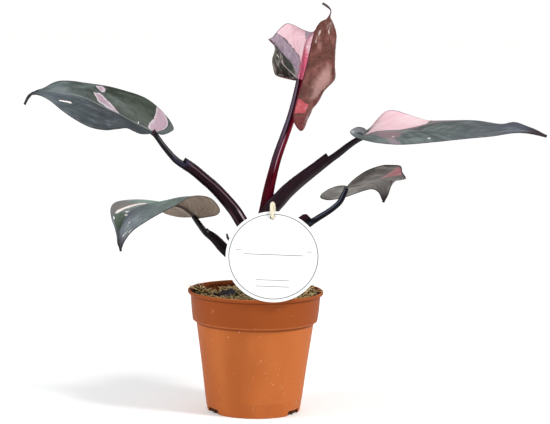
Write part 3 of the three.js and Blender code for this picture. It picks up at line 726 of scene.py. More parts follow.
straws = {"radius": 0.22, "tone": 0.9, "stations": 14, "around": 8, "lines": [
    [[-50, -6, 106], [-54.5, -6.3, 110.6], [-59.5, -6.6, 113.6], [-65.8, -7, 117.6]],
    [[-46, -10, 106], [-50.5, -10.5, 109.6], [-56, -9, 111.6], [-62.6, -6, 111.4]],
    [[-47, 2, 105], [-52, 3, 109.6], [-58.5, 4, 111.6], [-63.6, 4.6, 111.4]],
    [[-40, 6, 104], [-45, 4, 109], [-50, 2, 112.4], [-55.2, -1, 114.2]],
    [[47, 16, 105], [49.8, 18, 110], [51.2, 19.4, 114], [52, 20, 118.2]],
    [[49, 6, 105], [53.6, 3, 109], [57.5, 0, 111], [61.3, -3, 110.8]],
    [[50, -6, 105], [53.5, -7, 108.6], [57, -8, 110.6], [60.9, -8.6, 110.4]],
    [[44, -4, 105], [47, -1, 109.4], [50.6, 2, 112], [54.6, 5, 113.4]],
]}


def makeStraws(look):
    skin = strandFibre()
    stations = np.linspace(0, 1, look["stations"])
    sections = [ringSection(look["radius"] * (1.1 - 0.5 * u), look["around"]) for u in stations]
    tone = np.full(len(stations), look["tone"])
    for number, line in enumerate(look["lines"]):
        straw = tubeMesh(f"straw{number + 1}", Route(line), stations, [0.1, 0.2, 1], sections, skin,
                         {"tone": tone})
        keep(straw, "soil")


bark = {
    "outline": [[-8.4, -2.4], [-2.5, -4], [5, -3.4], [8.8, -0.6], [6.2, 3.1], [-1.3, 4], [-7, 2.2]],
    "corners": 40, "thick": 2.6, "turn": (38, -8, 12), "at": (-25, 8, 103.8), "wobble": 0.05, "rough": 0.5,
    "rings": ((0, 0.86), (0.25, 0.98), (0.5, 1), (0.8, 0.93), (1, 0.78), (1.02, 0.5), (0.98, 0.2)),
}


def barkSkin():
    pen = Pen("darkBark")
    layers = pen.noise(pen.place((1, 1, 4)), 320, 4, 0.65)
    colour = pen.mix(pen.step(layers, 0.3, 0.7), "1d1d24", "50505c")
    colour = pen.mix(pen.step(pen.noise(pen.place(), 700, 2), 0.6, 0.7, 0, 0.6), colour, "7b7468")
    return pen.done(colour, 0.6, pen.bump(layers, 0.0008, 0.9))


def makeBark(look):
    # rings of height and size, stacked and then turned into place
    marks = np.arange(look["corners"]) / look["corners"]
    outline = Route([p + [0] for p in look["outline"]], closed=True).at(marks)[:, :2]
    rings = []
    for height, size in look["rings"]:
        bumps = lumps(outline[:, 0] * 3 + height * 40, outline[:, 1] * 3, 2.0, 11) - 0.5
        grain = lumps(outline[:, 0] * size, outline[:, 1] * size, 1.3, 12) - 0.5
        z = height * look["thick"] + look["rough"] * grain * (height > 0.3)
        rings.append(np.column_stack([outline * size * (1 + look["wobble"] * bumps)[:, None], z]))
    a, b, c = (math.radians(v) for v in look["turn"])
    turn = np.array([[math.cos(c), -math.sin(c), 0], [math.sin(c), math.cos(c), 0], [0, 0, 1]])
    turn = turn @ np.array([[math.cos(b), 0, math.sin(b)], [0, 1, 0], [-math.sin(b), 0, math.cos(b)]])
    turn = turn @ np.array([[1, 0, 0], [0, math.cos(a), -math.sin(a)], [0, math.sin(a), math.cos(a)]])
    points = np.concatenate(rings) @ turn.T + np.array(look["at"])
    faces = tubeFaces(len(rings), look["corners"])
    return keep(makeObject("barkFlake", points, faces, [barkSkin()]), "bark", "bark_flake")


makeBark(bark)
makeStraws(straws)
print("bark flake and stray straws")


# leaves: a midrib and two edges between its ends, with patches in shares along and across each half

leaves = {
    "leaf_1": {
        "mid": [[-91.5, -12, 250.5], [-109, -21, 259.5], [-123.5, -29, 268], [-139.5, -38, 276],
                [-154, -47, 283], [-170.5, -57, 286.5], [-185.5, -66, 287.5], [-195, -71, 285.5],
                [-199.5, -73, 277]],
        "left": {
            "edge": [[-97, -16, 250], [-103, -28, 250.5], [-108, -42, 253.5], [-113.5, -53, 257],
                     [-122, -61, 256.5], [-131, -68, 256], [-142, -76, 258.5], [-153.5, -82, 264.5],
                     [-166, -84, 273], [-177.5, -81, 281.5], [-188.5, -74, 285.5], [-195, -72, 284]],
            "fan": 0.2, "bulge": [[0, 0], [0.12, 0], [0.2, -1], [0.35, 2], [0.55, 3], [1, 0]],
        },
        "right": {
            "edge": [[-85.5, -4, 248.5], [-78.5, 4, 251], [-76.5, 9, 254], [-82, 14, 262.5],
                     [-92.5, 12, 273.5], [-104.5, 4, 282], [-122, -5, 288], [-135, -13, 291.5],
                     [-149.5, -23, 294], [-165.5, -38, 296.5], [-175.5, -50, 296], [-184.5, -62, 291],
                     [-192, -70, 287.5]],
            "fan": 0.28, "bulge": [[0, 0], [0.15, 0], [0.3, 2], [0.5, 3], [1, 0]],
        },
        "blush": {
            "right": [[[0.262, 1.05], [0.235, 1.02], [0.2, 0.93], [0.165, 0.75], [0.15, 0.5],
                       [0.155, 0.23], [0.2, 0.02], [0.3, -0.05], [0.33, 0.06], [0.325, 0.16],
                       [0.298, 0.38], [0.276, 0.7]],
                      [[0.628, 0.45], [0.588, 0.5], [0.572, 0.33], [0.548, 0.23], [0.536, 0.15],
                       [0.5, 0.0], [0.53, -0.02], [0.578, 0.05], [0.612, 0.12], [0.62, 0.25]],
                      [[0.588, 0.88], [0.557, 0.93], [0.551, 0.8], [0.56, 0.66], [0.578, 0.6],
                       [0.59, 0.68]]],
        },
        "shade": {
            "right": [[[0.02, -0.05], [0.19, -0.05], [0.15, 0.2], [0.145, 0.5], [0.16, 0.8], [0.18, 1.1],
                       [0.02, 1.1]]],
        },
        "speckAndGlint": {
            "left": [[[0.762, 0.64], [0.756, 0.68], [0.724, 0.6], [0.684, 0.53], [0.688, 0.475],
                      [0.724, 0.53]]],
            "right": [[[0.494, 0.67], [0.499, 0.67], [0.499, 0.69], [0.494, 0.69]],
                      [[0.406, 0.76], [0.412, 0.76], [0.412, 0.785], [0.406, 0.785]],
                      [[0.387, 0.03], [0.394, 0.03], [0.39, 0.1], [0.386, 0.1]]],
        },
    },
    "leaf_2": {
        "mid": [[-54.5, -4, 173.5], [-62.5, -8, 181], [-71, -13, 186], [-86, -22, 188.5], [-103, -33, 187],
                [-115.5, -41, 181], [-120, -46, 170], [-119.5, -49, 159], [-118, -50, 149]],
        "left": {
            "edge": [[-45.5, -8, 175.5], [-35.5, -14, 178.5], [-33, -19, 184.5], [-40, -28, 194.5],
                     [-51, -36, 198], [-61, -43, 196], [-69, -50, 191], [-82, -55, 184.5],
                     [-95.5, -58, 176.5], [-107, -57, 168], [-114.5, -53, 158]],
            "fan": 0.33, "bulge": [[0, 0], [0.25, 2], [0.5, 4], [0.8, 3], [1, 0]],
        },
        "right": {
            "edge": [[-57.5, 2, 175], [-63.5, 10, 173], [-72, 17, 172.5], [-83.5, 22, 174.5],
                     [-92.5, 23, 179.5], [-104, 18, 184], [-116.5, 6, 187.5], [-126, -9, 188],
                     [-129.5, -24, 184], [-127.5, -36, 175.5], [-122.5, -45, 165], [-120, -50, 154.5]],
            "fan": 0.2, "bulge": [[0, 0], [0.25, 4], [0.45, 2], [0.8, 3], [1, 0]],
        },
        "blush": {
            "right": [[[0.6, 0.08], [0.618, 0.13], [0.662, 0.19], [0.706, 0.23], [0.748, 0.34],
                       [0.773, 0.56], [0.793, 0.56], [0.783, 0.38], [0.763, 0.25], [0.73, 0.15],
                       [0.687, 0.1], [0.635, 0.07]]],
        },
        "tint": {
            "left": [[[0.765, -0.06], [0.78, 0.1], [0.8, 0.2], [0.85, 0.28], [0.9, 0.1], [0.91, -0.06]]],
            "right": [[[0.775, 0.02], [0.78, 0.25], [0.79, 0.64], [0.835, 0.56], [0.875, 0.36],
                       [0.915, 0.2], [0.91, -0.06], [0.77, -0.06]]],
        },
        "shade": {
            "right": [[[0.6, 1.08], [0.6, 0.8], [0.643, 0.53], [0.662, 0.27], [0.706, 0.2], [0.76, 0.37],
                       [0.785, 0.77], [0.78, 1.08]]],
        },
        "speckAndGlint": {
            "left": [[[0.746, 0.03], [0.75, 0.075], [0.768, 0.05], [0.764, 0.01]],
                     [[0.776, 0.235], [0.781, 0.26], [0.79, 0.09], [0.785, 0.06]],
                     [[0.806, 0.58], [0.814, 0.63], [0.835, 0.66], [0.83, 0.61]],
                     [[0.868, 0.91], [0.82, 0.885], [0.82, 0.87], [0.868, 0.89]],
                     [[0.91, 0.62], [0.866, 0.81], [0.864, 0.79], [0.908, 0.56]]],
            "right": [[[0.797, 0.66], [0.806, 0.7], [0.824, 0.54], [0.816, 0.5]],
                      [[0.758, 0.0], [0.762, 0.07], [0.769, 0.06], [0.767, 0.0]]],
        },
    },
    "leaf_3": {
        "mid": [[92, 5, 249], [104.5, 4, 253.5], [126.5, 2, 256], [153.5, 0, 256], [176.5, -3, 254],
                [206.5, -7, 256], [232.5, -11, 259], [256, -14, 254.5]],
        "left": {
            "edge": [[89.5, 14, 250.5], [93, 28, 253], [100.5, 36, 255], [107.5, 39, 263], [116, 41, 271],
                     [126, 42, 271.5], [141, 42, 267], [155, 41, 263.5], [172, 37, 264], [197, 28, 265],
                     [218.5, 16, 263], [230, 6, 265.5], [242, -5, 261.5]],
            "fan": 0.27, "bulge": [[0, 0], [0.15, -2], [0.3, -3], [0.6, 3], [1, 0]],
        },
        "right": {
            "edge": [[96.5, 4, 256], [89, -3, 259], [81.5, -11, 255.5], [84.5, -20, 251.5], [93, -28, 249],
                     [107, -35, 247], [127.5, -39, 246.5], [156, -40, 249.5], [182.5, -36, 252.5],
                     [206.5, -27, 254.5], [224.5, -20, 257], [240.5, -16, 257]],
            "fan": 0.27, "bulge": [[0, 0], [0.1, 1], [0.2, 3], [0.5, 4], [0.8, 1], [1, 0]],
        },
        "blush": {
            "left": [[[0.17, 0.14], [0.18, 0.4], [0.19, 0.8], [0.2, 1.1], [0.46, 1.1], [0.465, 0.85],
                      [0.475, 0.62], [0.455, 0.4], [0.43, 0.22], [0.41, 0.08], [0.3, 0.12]]],
        },
        "tint": {
            "left": [[[0.41, 0.08], [0.43, 0.22], [0.455, 0.4], [0.475, 0.62], [0.46, 1.1], [0.66, 1.1],
                      [0.6, 0.9], [0.53, 0.72], [0.49, 0.5], [0.46, 0.25], [0.43, 0.06]]],
            "right": [[[0.345, 0.75], [0.35, 0.9], [0.36, 1.1], [0.4, 1.1], [0.39, 0.9], [0.375, 0.75]]],
        },
        "shade": {
            "right": [[[0.24, 0.02], [0.26, 0.22], [0.31, 0.45], [0.33, 0.72], [0.37, 0.78], [0.4, 0.66],
                       [0.42, 0.42], [0.4, 0.15], [0.37, 0.02]]],
        },
        # painted light over the shaded basal lobe
        "paintedLight": {
            "right": [[[0.02, 0.45], [0.02, 1.1], [0.14, 1.1], [0.18, 0.65], [0.12, 0.45]]],
        },
        "speckAndGlint": {
            "right": [[[0.37, 0.66], [0.38, 0.66], [0.38, 0.71], [0.37, 0.71]],
                      [[0.502, 0.8], [0.514, 0.8], [0.514, 0.86], [0.502, 0.86]],
                      [[0.432, 0.665], [0.439, 0.665], [0.439, 0.7], [0.432, 0.7]],
                      [[0.584, 0.715], [0.591, 0.715], [0.591, 0.75], [0.584, 0.75]]],
        },
    },
    "leaf_4": {
        "mid": [[80.5, 2, 205], [91, 18, 205], [102, 36, 207], [112, 52, 208], [120, 66, 207.5],
                [124.5, 76, 202], [123, 83, 192.5], [118.5, 86, 182.5]],
        "left": {
            "edge": [[75, -2, 205.5], [66, -3, 203.5], [58.5, 0, 198.5], [57, 8, 193.5], [64, 18, 190.5],
                     [72.5, 28, 190.5], [81, 38, 191.5], [91, 49, 194], [100.5, 60, 196], [107.5, 70, 196],
                     [114, 79, 191.5]],
            "fan": 0.3, "bulge": [[0, 0], [0.3, 3], [0.6, 3], [1, 0]],
        },
        "right": {
            "edge": [[83, -4, 209], [89.5, -6, 215], [98.5, -3, 220.5], [111.5, 8, 224],
                     [122.5, 21, 223.5], [130.5, 34, 221.5], [133, 45, 215], [137.5, 62, 207.5],
                     [130, 75, 204.5], [125, 82, 199.5], [121.5, 85, 192.5]],
            "fan": 0.27, "bulge": [[0, 0], [0.25, -3], [0.5, -3], [1, 0]],
        },
        "blush": {
            "right": [[[0.48, 0.4], [0.465, 0.62], [0.472, 0.83], [0.49, 1.06], [0.6, 1.06], [0.62, 0.98],
                       [0.59, 0.83], [0.555, 0.64], [0.52, 0.5]]],
        },
        "shade": {
            "right": [[[0.275, 0.03], [0.37, 0.09], [0.42, 0.28], [0.462, 0.56], [0.49, 0.7], [0.5, 0.68],
                       [0.478, 0.54], [0.436, 0.28], [0.385, 0.08], [0.28, 0.0]]],
        },
    },
    "leaf_5": {
        "mid": [[35.5, 8, 298.5], [37.5, 10, 310], [38.5, 11, 321.5], [41, 11, 333.5], [47, 8, 342.5],
                [54.5, 4, 350], [60.5, 0, 356.5], [62, -2, 361.5], [58.5, -3, 365.5], [54.5, -3, 368]],
        "left": {
            "edge": [[30, 6, 300.5], [22, 3, 302], [14.5, 1, 303.5], [12, 2, 310], [11, 6, 317.5],
                     [13.2, 10, 326.5], [10.4, 11.8, 333.4], [6.9, 12.4, 335.1], [10.8, 12, 337],
                     [15.5, 11.8, 343], [20.6, 11.2, 348], [24, 11.5, 349.6], [29, 12, 348.6],
                     [39, 13, 344], [47, 13, 342.5], [53.5, 9, 347.5], [58, 4, 353.5], [60.5, 0, 357.5],
                     [62, -2, 361.5], [58.5, -3, 365.5]],
            "fan": 0.28, "bulge": [[0, 0], [0.2, -5], [0.5, -3], [1, 0]],
        },
        "right": {
            "edge": [[45, 13, 290], [48.5, 14, 276], [43.5, 9, 263], [38.5, 1, 254], [32.5, -6, 260],
                     [30.5, -9, 268.5], [33.5, -12, 283], [37, -15, 296.5], [41, -16, 312.5],
                     [44, -15, 327], [47.5, -12, 342], [52.5, -7, 351], [60.5, -1, 355.5], [62, -2, 361.5],
                     [58.5, -3, 365.5]],
            "fan": 0.42, "round": 0.8, "bulge": [[0, 0, 0, 0], [0.14, 1, 0, 0], [0.24, 4, 0, -2],
                                                 [0.32, 8, -1, -4], [0.39, 16, -2, -5],
                                                 [0.42, 20.5, -3, -3], [0.45, 22, -3, -1],
                                                 [0.48, 23.7, -3, 0], [0.51, 27.4, -3, 0],
                                                 [0.54, 31, -3, 0], [0.62, 27.3, -3, 0],
                                                 [0.7, 25.2, -3, 0], [0.76, 23.2, -2, 1],
                                                 [0.79, 20.5, -2, 2], [0.84, 13, -2, 3], [0.88, 6, -1, 2],
                                                 [0.92, 0, 0, 0], [1, 0, 0, 0]],
        },
        "blush": {
            "left": [[[0.46, 1.08], [0.68, 1.08], [0.66, 0.5], [0.65, 0.1], [0.75, -0.05], [0.25, -0.05],
                      [0.3, 0.06], [0.4, 0.03], [0.46, 0.02], [0.505, 0.1], [0.51, 0.25], [0.505, 0.52],
                      [0.505, 0.63], [0.5, 0.75], [0.49, 0.87], [0.48, 1]]],
            "right": [[[0.478, 1.08], [0.478, 0.985], [0.468, 0.955], [0.455, 0.925], [0.443, 0.86],
                       [0.432, 0.83], [0.424, 0.85], [0.414, 0.84], [0.402, 0.85], [0.404, 0.9],
                       [0.413, 0.94], [0.414, 0.98], [0.42, 1.08]],
                      [[0.43, -0.05], [0.8, -0.05], [0.8, 0.3], [0.45, 0.35]]],
        },
        "tint": {
            "left": [[[0.405, 1.08], [0.46, 1.08], [0.485, 0.95], [0.49, 0.87], [0.5, 0.63], [0.5, 0.4],
                      [0.505, 0.2], [0.49, 0.05], [0.41, 0.03], [0.3, 0.05], [0.3, 0.12], [0.37, 0.2],
                      [0.41, 0.38], [0.385, 0.6], [0.38, 0.7], [0.4, 0.85]],
                     [[0.665, 1.08], [0.76, 1.08], [0.76, 0.3], [0.74, -0.05], [0.655, -0.05], [0.65, 0.1],
                      [0.66, 0.5]]],
            "right": [[[0.74, 0.88], [0.765, 0.77], [0.7, 0.6], [0.635, 0.62], [0.66, 0.76], [0.63, 0.97],
                       [0.69, 0.97], [0.7, 0.88]]],
        },
        "shade": {
            "left": [[[0.2, -0.06], [0.52, -0.06], [0.5, 0.02], [0.42, 0.05], [0.34, 0.04], [0.25, 0.03]]],
            "right": [[[0.1, -0.06], [0.74, -0.06], [0.66, 0.03], [0.58, 0.07], [0.48, 0.1], [0.41, 0.12],
                       [0.39, 0.5], [0.38, 0.85], [0.41, 1.1], [0.1, 1.1]]],
        },
        # painted highlights on the brown back
        "paintedLight": {
            "right": [[[0.65, 0.78], [0.605, 0.66], [0.55, 0.67], [0.46, 0.72], [0.455, 0.86],
                       [0.545, 0.93], [0.575, 0.91]],
                      [[0.735, 0.8], [0.725, 0.76], [0.705, 0.77], [0.712, 0.81]],
                      [[0.77, 0.94], [0.76, 0.9], [0.71, 0.89], [0.71, 0.93]]],
        },
        # leaf 5's flecks are painted glints on the dark lobe and painted highlight streaks on the brown back
        "speckAndGlint": {
            "left": [[[0.308, 0.72], [0.308, 0.67], [0.326, 0.62], [0.322, 0.72]],
                     [[0.308, 0.93], [0.304, 0.78], [0.297, 0.6], [0.296, 0.32], [0.297, 0.08],
                      [0.305, 0.08], [0.304, 0.32], [0.305, 0.58], [0.312, 0.78], [0.318, 0.9]],
                     [[0.164, 0.85], [0.18, 0.55], [0.19, 0.55], [0.173, 0.82]]],
            "right": [[[0.807, 0.94], [0.782, 0.965], [0.748, 0.97], [0.744, 0.95], [0.778, 0.945],
                       [0.803, 0.92]],
                      [[0.84, 0.85], [0.807, 0.82], [0.782, 0.79], [0.785, 0.77], [0.811, 0.8],
                       [0.84, 0.83]]],
        },
    },
}

blade = {
    "fanRows": 26, "bodyRows": 96, "fanEase": 0.8, "bulgeSoft": 0.014, "narrowest": 1.0,
    "thick": 0.5, "tipThick": 2.0, "tipFrom": 0.86, "tipFull": 0.95, "rim": 0.22, "rimReach": 1.2,
    "rib": 1.2, "ribWidth": 1.3, "groove": 0.25, "grooveWidth": 0.9,
    "veinGap": 5.5, "veinDepth": 0.16, "sweep": 26, "sweepBend": 1.3,
    "patches": ("blush", "tint", "shade", "speckAndGlint", "paintedLight"), "patchReach": 6.0,
    "across": [0.012, 0.025, 0.045, 0.07, 0.1, 0.14, 0.19, 0.25, 0.31, 0.38, 0.45, 0.52, 0.59, 0.66, 0.73,
               0.79, 0.85, 0.9, 0.94, 0.97, 0.988, 1],
}


def halfLeaf(leaf, side):
    mid, half = Route(leaf["mid"]), leaf[side]
    margin = Route([leaf["mid"][0], *half["edge"], leaf["mid"][-1]])
    fan, fanRows, bodyRows = half["fan"], blade["fanRows"], blade["bodyRows"]
    pace = margin.length * (1 - fan) / mid.length
    opening = fan * (np.arange(1, fanRows + 1) / fanRows) ** blade["fanEase"]
    body = np.arange(1, bodyRows + 1) / bodyRows
    t = np.concatenate([opening, fan + (1 - fan) * body ** (1 / pace)])
    u = np.concatenate([np.zeros(fanRows), body])
    foot, ahead = mid.at(u), mid.tangent(u)
    chord = margin.at(t) - foot
    for i in range(1, len(t)):
        if np.linalg.norm(chord[i]) < blade["narrowest"]:
            turned = chord[i - 1] - ahead[i] * (chord[i - 1] @ ahead[i])
            chord[i] = turned / np.linalg.norm(turned) * blade["narrowest"]
    lift = tableAt(half["bulge"], t, blade["bulgeSoft"])
    if lift.shape[1] == 1:
        out = np.cross(ahead, chord) * (1 if side == "left" else -1)
        lift = lift * out / (np.linalg.norm(out, axis=1, keepdims=True) + 1e-9)
    share = np.array(blade["across"])
    arch = np.sin(np.pi * share) ** half.get("round", 1)
    points = foot[:, None] + chord[:, None] * share[None, :, None] + lift[:, None] * arch[None, :, None]
    spans = np.diff(np.concatenate([foot[:, None], points], axis=1), axis=1)
    reach = np.cumsum(np.linalg.norm(spans, axis=2), axis=1)
    return {"foot": foot, "points": points, "t": t, "u": u, "reach": reach, "length": margin.length}


def insideBy(x, y, outline):
    # how far inside an outline each point lies, in the outline's own unit
    outline = np.asarray(outline, float)
    ends = np.roll(outline, -1, axis=0)
    nearest = np.full(x.shape, 1e9)
    inside = np.zeros(x.shape, bool)
    for (ax, ay), (bx, by) in zip(outline, ends):
        dx, dy = bx - ax, by - ay
        along = np.clip(((x - ax) * dx + (y - ay) * dy) / (dx ** 2 + dy ** 2 + 1e-12), 0, 1)
        nearest = np.minimum(nearest, np.hypot(x - ax - along * dx, y - ay - along * dy))
        inside ^= ((ay > y) != (by > y)) & (x < dx * (y - ay) / (dy + 1e-12) + ax)
    return np.where(inside, nearest, -nearest)


def patchField(outlines, half, t, s):
    # mm inside the nearest patch, cut off at the same reach either way
    far, length, width = blade["patchReach"], half["length"], half["reach"].max()
    field = np.full(t.shape, -far)
    for outline in outlines:
        scaled = [[a * length, b * width] for a, b in outline]
        field = np.maximum(field, insideBy(t * length, s * width, scaled))
    return np.clip(field, -far, far)


def pointNormals(points, faces):
    normals = np.zeros_like(points)
    for size, (a, b, c, d) in {3: (1, 0, 2, 0), 4: (2, 0, 3, 1)}.items():
        some = np.array([face for face in faces if len(face) == size])
        if len(some):
            corners = points[some]
            turned = np.cross(corners[:, a] - corners[:, b], corners[:, c] - corners[:, d])
            for k in range(size):
                np.add.at(normals, some[:, k], turned)
    return normals / (np.linalg.norm(normals, axis=1, keepdims=True) + 1e-9)


def thickLeaf(name, points, faces, facts, materials):
    normals = pointNormals(points, faces)
    # side veins sink a little into the upper face, and the blade swells between them
    swept = facts["along"] - blade["sweep"] * facts["across"] ** blade["sweepBend"]
    wave = np.abs(np.cos(np.pi * swept / blade["veinGap"])) ** 6
    calm = smooth(facts["ribGap"], 1, 5) * smooth(facts["rimGap"], 0.5, 4)
    points = points - normals * (blade["veinDepth"] * wave * calm)[:, None]
    # thin at the rim, thick in the hard tip, with a rib below and a groove above it
    tipped = smooth(facts["toTip"], blade["tipFrom"], blade["tipFull"])
    thick = blade["thick"] + (blade["tipThick"] - blade["thick"]) * tipped
    atRim = (1 - smooth(facts["rimGap"], 0, blade["rimReach"])) * (facts["toTip"] < blade["tipFrom"])
    half = (thick - (thick - blade["rim"]) * atRim) / 2
    slim = 1 - 0.85 * facts["toTip"]
    ridge = blade["rib"] * slim * np.exp(-(facts["ribGap"] / (blade["ribWidth"] * (0.35 + 0.65 * slim))) ** 2)
    groove = blade["groove"] * slim * np.exp(-(facts["ribGap"] / blade["grooveWidth"]) ** 2)
    upper = points + normals * (half - groove)[:, None]
    lower = points - normals * (half + ridge)[:, None]
    total = len(points)
    edges = dict.fromkeys((face[i - 1], v) for face in faces for i, v in enumerate(face))
    walls = [[q, p, p + total, q + total] for p, q in edges if (q, p) not in edges]
    under = [[v + total for v in reversed(face)] for face in faces]
    slots = [0] * len(faces) + [1] * (len(under) + len(walls))
    both = {key: np.tile(values, 2) for key, values in facts.items()}
    return makeObject(name, np.concatenate([upper, lower]), faces + under + walls, materials, slots, both)


def leafMesh(name, leaf, materials):
    # the midrib's points come first and are shared by both halves; the opening rows fan out from its foot
    halves = {side: halfLeaf(leaf, side) for side in ("left", "right")}
    left, fanRows, columns = halves["left"], blade["fanRows"], len(blade["across"])
    rows = len(left["t"])
    points = [left["foot"][:1], left["foot"][fanRows:]]
    count = 1 + rows - fanRows
    ribIndex = np.concatenate([np.zeros(fanRows, int), np.arange(1, count)])
    facts = {key: [np.zeros(count)] for key in ("across", "side", "ribGap")}
    facts["along"] = [np.concatenate([[0], left["t"][fanRows:] * left["length"]])]
    facts["rimGap"] = [np.concatenate([[3.0], left["reach"][fanRows:, -1]])]
    facts["toTip"] = [np.concatenate([[0.0], left["u"][fanRows:]])]
    for kind in blade["patches"]:
        both = []
        for side, half in halves.items():
            t = np.concatenate([[0.0], half["t"][fanRows:]])
            both.append(patchField(leaf.get(kind, {}).get(side, []), half, t, np.zeros(count)))
        facts[kind] = [np.maximum(*both)]
    faces = []
    for side, half in halves.items():
        grid = np.column_stack([ribIndex, count + np.arange(rows * columns).reshape(rows, columns)])
        quads = np.stack([grid[:-1, :-1], grid[1:, :-1], grid[1:, 1:], grid[:-1, 1:]], -1).reshape(-1, 4)
        if side == "right":
            quads = quads[:, ::-1]
        faces += [[v for i, v in enumerate(quad) if v != quad[i - 1]] for quad in quads.tolist()]
        points.append(half["points"].reshape(-1, 3))
        count += rows * columns
        share, t, reach = np.tile(blade["across"], rows), np.repeat(half["t"], columns), half["reach"]
        found = {"across": share, "side": np.full(rows * columns, 1.0 if side == "left" else -1.0),
                 "ribGap": reach.ravel(), "rimGap": (reach[:, -1:] - reach).ravel(),
                 "along": t * half["length"], "toTip": np.repeat(half["u"], columns)}
        for kind in blade["patches"]:
            found[kind] = patchField(leaf.get(kind, {}).get(side, []), half, t, share)
        for key, values in found.items():
            facts[key].append(values)
    facts = {key: np.concatenate(parts) for key, parts in facts.items()}
    return thickLeaf(name, np.concatenate(points), faces, facts, materials)


brownBack = {
    "left": ("6a5b4d", "877668"), "right": ("6a5b4d", "877668"), "far": "6a5c52", "sheenColour": "9a8b7d",
    "sheenShare": 0.4, "vein": "5b4a42", "rib": "3a2522", "rim": "2f2428", "rimWide": 0.9, "tint": "7b6f7c",
    "shade": "6b6f70", "end": "3a2c2c", "gloss": 0.45,
}
leafSkins = {
    "leaf_1": {
        # leaf 1's bluish left half against its olive right half is painted sheen
        "upper": {"left": ("303539", "42484d"), "right": ("2c332a", "414b3f"), "far": "5d676b",
                  "sheenColour": "868e93", "sheenShare": 0.42, "sheenFrom": 0.1, "weights": (0.2, 0.1, 0.1, 0.6),
                  "smooth": True, "veined": 0.55, "vein": "687176", "rib": "7d8583", "rim": "241f24",
                  "rimWide": 1.1, "blush": ("9a7f8d", "b89ca9"), "edge": "c4b9bf", "tint": "6b6770",
                  "shade": "5d6364", "end": "2c2a2c", "gloss": 0.4},
        "under": {**brownBack, "blush": ("c08f8e", "d2a6a3")},
    },
    "leaf_2": {
        "upper": {"left": ("5e6862", "7d8c85"), "right": ("6c7d73", "96a99e"), "far": "463a5a",
                  "sheenColour": "98a8a0", "sheenShare": 0.3, "weights": (0.12, 0.2, 0.5, 0.18), "smooth": True,
                  "vein": "87918a", "rib": "858c88", "ribShare": 0.3, "rim": "20171a", "rimWide": 0.9,
                  "blush": ("dccdc5", "ebe4dc"), "tint": "2d3f17", "shade": "7d7672", "end": "2c2629",
                  "gloss": 0.34},
        "under": {"left": ("6c5d4f", "8a796b"), "right": ("7a6b5d", "998a7c"), "far": "7a6c60",
                  "sheenColour": "a69787", "sheenShare": 0.35, "vein": "4a3a33", "rib": "2a1a19", "ribReach": 2.7,
                  "ribTaper": 5, "rim": "3a2b2a", "rimWide": 0.9, "blush": ("c09a8d", "cfaa9d"),
                  "tint": "5d5b48", "shade": "6d6055", "end": "3a2c2c", "gloss": 0.5},
    },
    "leaf_3": {
        "upper": {"left": ("4b534f", "6a736e"), "right": ("4f5856", "737c7b"), "far": "504e64",
                  "sheenColour": "8e9697", "sheenShare": 0.55, "vein": "78817f", "rib": "a6aeac", "rim": "43333b",
                  "rimWide": 1.0, "paintedLight": "bcc0c6", "paintedLightShare": 1.0, "blush": ("f4c6cf", "fde2e6"),
                  "tint": "a28c95", "shade": "93797e", "end": "3a2f36", "gloss": 0.38},
        "under": {**brownBack, "blush": ("cf8487", "dba09f")},
    },
    "leaf_4": {
        "upper": {"left": ("3c4640", "525d58"), "right": ("3c4640", "525d58"), "far": "4d5657",
                  "sheenColour": "7b8684", "sheenShare": 0.5, "vein": "6a7571", "rib": "7a8380", "rim": "2f282c",
                  "rimWide": 0.9, "blush": ("d599a4", "e6b2ba"), "tint": "7b7482", "shade": "5b666a",
                  "end": "33262b", "gloss": 0.4},
        "under": {"left": ("5e5a55", "8b8680"), "right": ("332c27", "4d433c"), "far": "524b49",
                  "sheenColour": "a39d98", "sheenShare": 0.45, "weights": (0.05, 0.15, 0.2, 0.6), "smooth": True,
                  "vein": "453f38", "rib": "301b19", "ribReach": 0.8, "rim": "1b1719", "rimWide": 1.7,
                  "blush": ("84434a", "a35f64"), "tint": "8a5f60", "shade": "4d3230", "end": "21161a",
                  "gloss": 0.46},
    },
    "leaf_5": {
        "upper": {"left": ("2b3028", "585b51"), "right": ("d98aa0", "eeb0c0"), "far": "8b7782",
                  "sheenColour": "c4c1b8", "sheenShare": 0.75, "weights": (0.15, 0.25, 0.4, 0.2), "vein": "3d413c",
                  "rib": "dd6f8a", "ribShare": 0.6, "rim": "3a2730", "rimWide": 0.8,
                  "blush": ("eeb2c0", "fcd9e0"), "tint": "c2a9bd", "shade": "e63a6c", "end": "4b3a38",
                  "gloss": 0.2, "shine": 0.5, "speckAndGlintSides": (0, 0.65), "deepOver": True},
        "under": {"left": ("55332b", "7d5347"), "right": ("56302a", "7c4a42"), "far": "5f4237",
                  "sheenColour": "a07069", "sheenShare": 0.4, "weights": (0.0, 0.5, 0.15, 0.35), "smooth": True,
                  "vein": "5b3a31", "rib": "5a2426", "paintedLight": "c79b95", "paintedLightShare": 0.62,
                  "speckAndGlintSides": (0.5, 0), "rim": "551322", "rimWide": 1.5, "blush": ("b4434e", "c9646a"),
                  "tint": "553229", "shade": "722f31", "end": "4f4340", "gloss": 0.25, "shine": 0.3},
    },
}


